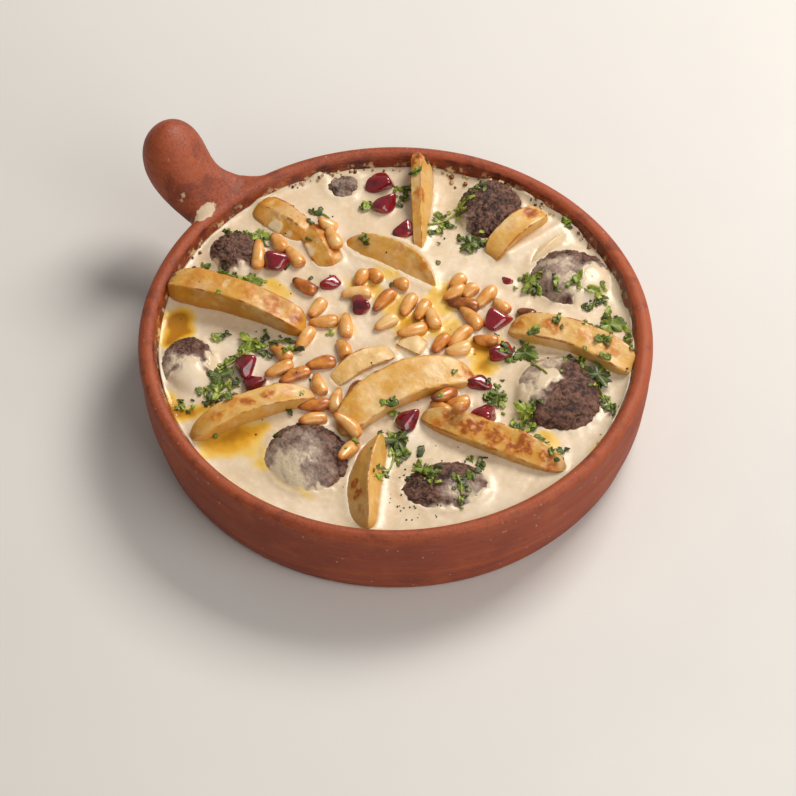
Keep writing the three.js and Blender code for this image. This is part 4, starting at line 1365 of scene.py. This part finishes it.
def make_lumps(places, sizes, lift, rows, columns):
    """Small rough balls with their middles a little above the pile."""
    unit = ball_directions(rows, columns)
    middles = np.array([[x, y, top_at(x, y)[0] + lift * size] for (x, y), size in zip(places, sizes)])
    apart = np.arange(len(sizes))[:, None, None, None] * 5.3
    body = unit * (1 + 0.4 * rough(unit * 1.6 + apart, 2))[..., None]
    return inside_pan(body * sizes[:, None, None, None] * [1, 1, LUMP_SQUASH] + middles[:, None, None])


bearing = np.radians(np.concatenate([chance.uniform(66, 162, 70), chance.uniform(10, 60, 12),
                                     chance.uniform(190, 215, 14)]))
distance = chance.uniform(94.6, 96.4, len(bearing))
rim_crumbs = np.stack([distance * np.cos(bearing), distance * np.sin(bearing)], -1)
brown_crumbs = places_in("-51,83 -48,84 -41,79 -50,81 -46,82 -44,80 -39,83")
crumb_places = np.vstack([rim_crumbs, brown_crumbs])
crumb_sizes = np.append(chance.uniform(0.25, 0.8, len(rim_crumbs)),
                        chance.uniform(0.6, 1.3, len(brown_crumbs)))
crumb_rings = make_lumps(crumb_places, crumb_sizes, 0.35, 8, 12)
baked = chance.uniform(0, 1, (len(crumb_rings), 1, 1)) ** 1.5
crumbs = skin("baked_crumbs", crumb_rings, baked=baked)

pepper_places = np.vstack([places_in("55,-21 67,-28 35,88 88,37 87,32 -50,-10 -8,-72 13,-64 36,-67"),
                           chance.normal([62, -52], [12, 5], (40, 2)), chance.uniform(-85, 85, (60, 2))])
pepper_places = pepper_places[np.hypot(*pepper_places.T) < 91]
pepper_rings = make_lumps(pepper_places, chance.uniform(0.18, 0.42, len(pepper_places)), 0.3, 5, 8)
pepper = skin("ground_pepper", pepper_rings)
print("crumbs:", len(crumb_rings), "pepper:", len(pepper_rings))


def baked_crumb():
    material, tree, shader = new_material("baked_crumb", Subsurface_Weight=0.1, Subsurface_Scale=0.001)
    shade = plus(tree, painted(tree, "baked"), varied(tree, grain(tree, 1.5), -0.2, 0.2))
    colour = ramp(tree, shade, (0.0, "d8bd92"), (0.3, "b58a58"), (0.6, "7c4c2c"), (1.0, "4a2614"))
    feed(tree, shader, Base_Color=colour, Roughness=varied(tree, grain(tree, 1), 0.5, 0.75))
    return material


def pepper_corn():
    material, tree, shader = new_material("ground_pepper")
    colour = ramp(tree, grain(tree, 0.5), (0.4, "17110c"), (0.65, "4a3a28"))
    feed(tree, shader, Base_Color=colour, Roughness=varied(tree, grain(tree, 0.4), 0.5, 0.8))
    return material


dress(crumbs, baked_crumb(), "sauce")
dress(pepper, pepper_corn(), "sauce")

# %% [markdown]
# ## The picture
#
# The camera looks down at 51 degrees with a long lens, as from a step back, and the pan's handle points
# away to the left. A large soft lamp stands behind on the right, a weaker one in front fills the shadows,
# and a pale room lights the rest. The floor is plain and pale.

# %% Camera
PICTURE_WIDTH = 796
FOCAL_PIXELS = 4000
SENSOR = 36
ELEVATION = math.radians(51.3)
ROLL = math.radians(-0.75)
CAMERA_DISTANCE = 1623.6
AIM = np.array([0, 0, 39.8])
AIM_BESIDE = -1.2
AIM_ABOVE = 26.06


def viewing_axes():
    """The camera's right, up and back, before it swings round the pan."""
    back = np.array([0, -math.cos(ELEVATION), math.sin(ELEVATION)])
    level = np.array([1.0, 0, 0])
    upright = np.cross(back, level)
    right = level * math.cos(ROLL) + upright * math.sin(ROLL)
    return right, upright * math.cos(ROLL) - level * math.sin(ROLL), back


right, up, back = viewing_axes()
eye = turned(AIM + back * CAMERA_DISTANCE - right * AIM_BESIDE - up * AIM_ABOVE, VIEW_TURN)
pose = np.eye(4)
pose[:3, :3] = turned(np.stack([right, up, back]), VIEW_TURN).T
pose[:3, 3] = eye * MM
lens = bpy.data.cameras.new("camera")
lens.sensor_width = SENSOR
lens.lens = SENSOR * FOCAL_PIXELS / PICTURE_WIDTH
camera = bpy.data.objects.new("camera", lens)
camera.matrix_world = Matrix(pose.tolist())
bpy.context.scene.collection.objects.link(camera)
bpy.context.scene.camera = camera
print("camera at", [round(value, 4) for value in (eye * MM).tolist()], "lens", round(lens.lens, 1))


# %% Lamps, room and floor
FLOOR_REACH = 3
FLOOR_GAP = 0.0003


def lamp(name, right_of, away, height, size, power, warmth):
    """A square soft lamp at a place given from the picture's own right and depth, in metres, aimed at the
    pan."""
    light = bpy.data.lights.new(name, "AREA")
    light.size = size
    light.energy = power
    light.color = (1, 1 - 0.5 * warmth, 1 - warmth)
    item = bpy.data.objects.new(name, light)
    item.location = turned(np.array([right_of, away, height]), VIEW_TURN)
    aim = Vector((0, 0, 0.03)) - item.location
    item.rotation_euler = aim.to_track_quat("-Z", "Y").to_euler()
    bpy.context.scene.collection.objects.link(item)
    return item


lamp("soft_key", 0.55, 0.65, 0.95, 0.55, 13, 0.12)
lamp("soft_fill", 0.7, -0.75, 0.75, 0.9, 7, 0.08)

room = bpy.data.worlds.new("pale_room")
room.use_nodes = True
background = room.node_tree.nodes["Background"].inputs
background["Color"].default_value = (1.0, 0.97, 0.92, 1)
background["Strength"].default_value = 0.28
bpy.context.scene.world = room
bpy.context.scene.view_settings.view_transform = "Standard"

floor_material, floor_tree, floor_shader = new_material("pale_floor")
feed(floor_tree, floor_shader,
     Base_Color=ramp(floor_tree, grain(floor_tree, 300), (0.3, "dcdad6"), (0.7, "e2e0dc")),
     Roughness=varied(floor_tree, grain(floor_tree, 60), 0.6, 0.7))
floor_mesh = bpy.data.meshes.new("floor")
corners = [(x * FLOOR_REACH, y * FLOOR_REACH, -FLOOR_GAP) for x, y in ((-1, -1), (1, -1), (1, 1), (-1, 1))]
floor_mesh.from_pydata(corners, [], [[0, 1, 2, 3]])
floor_mesh.materials.append(floor_material)
floor = bpy.data.objects.new("floor", floor_mesh)
bpy.context.scene.collection.objects.link(floor)
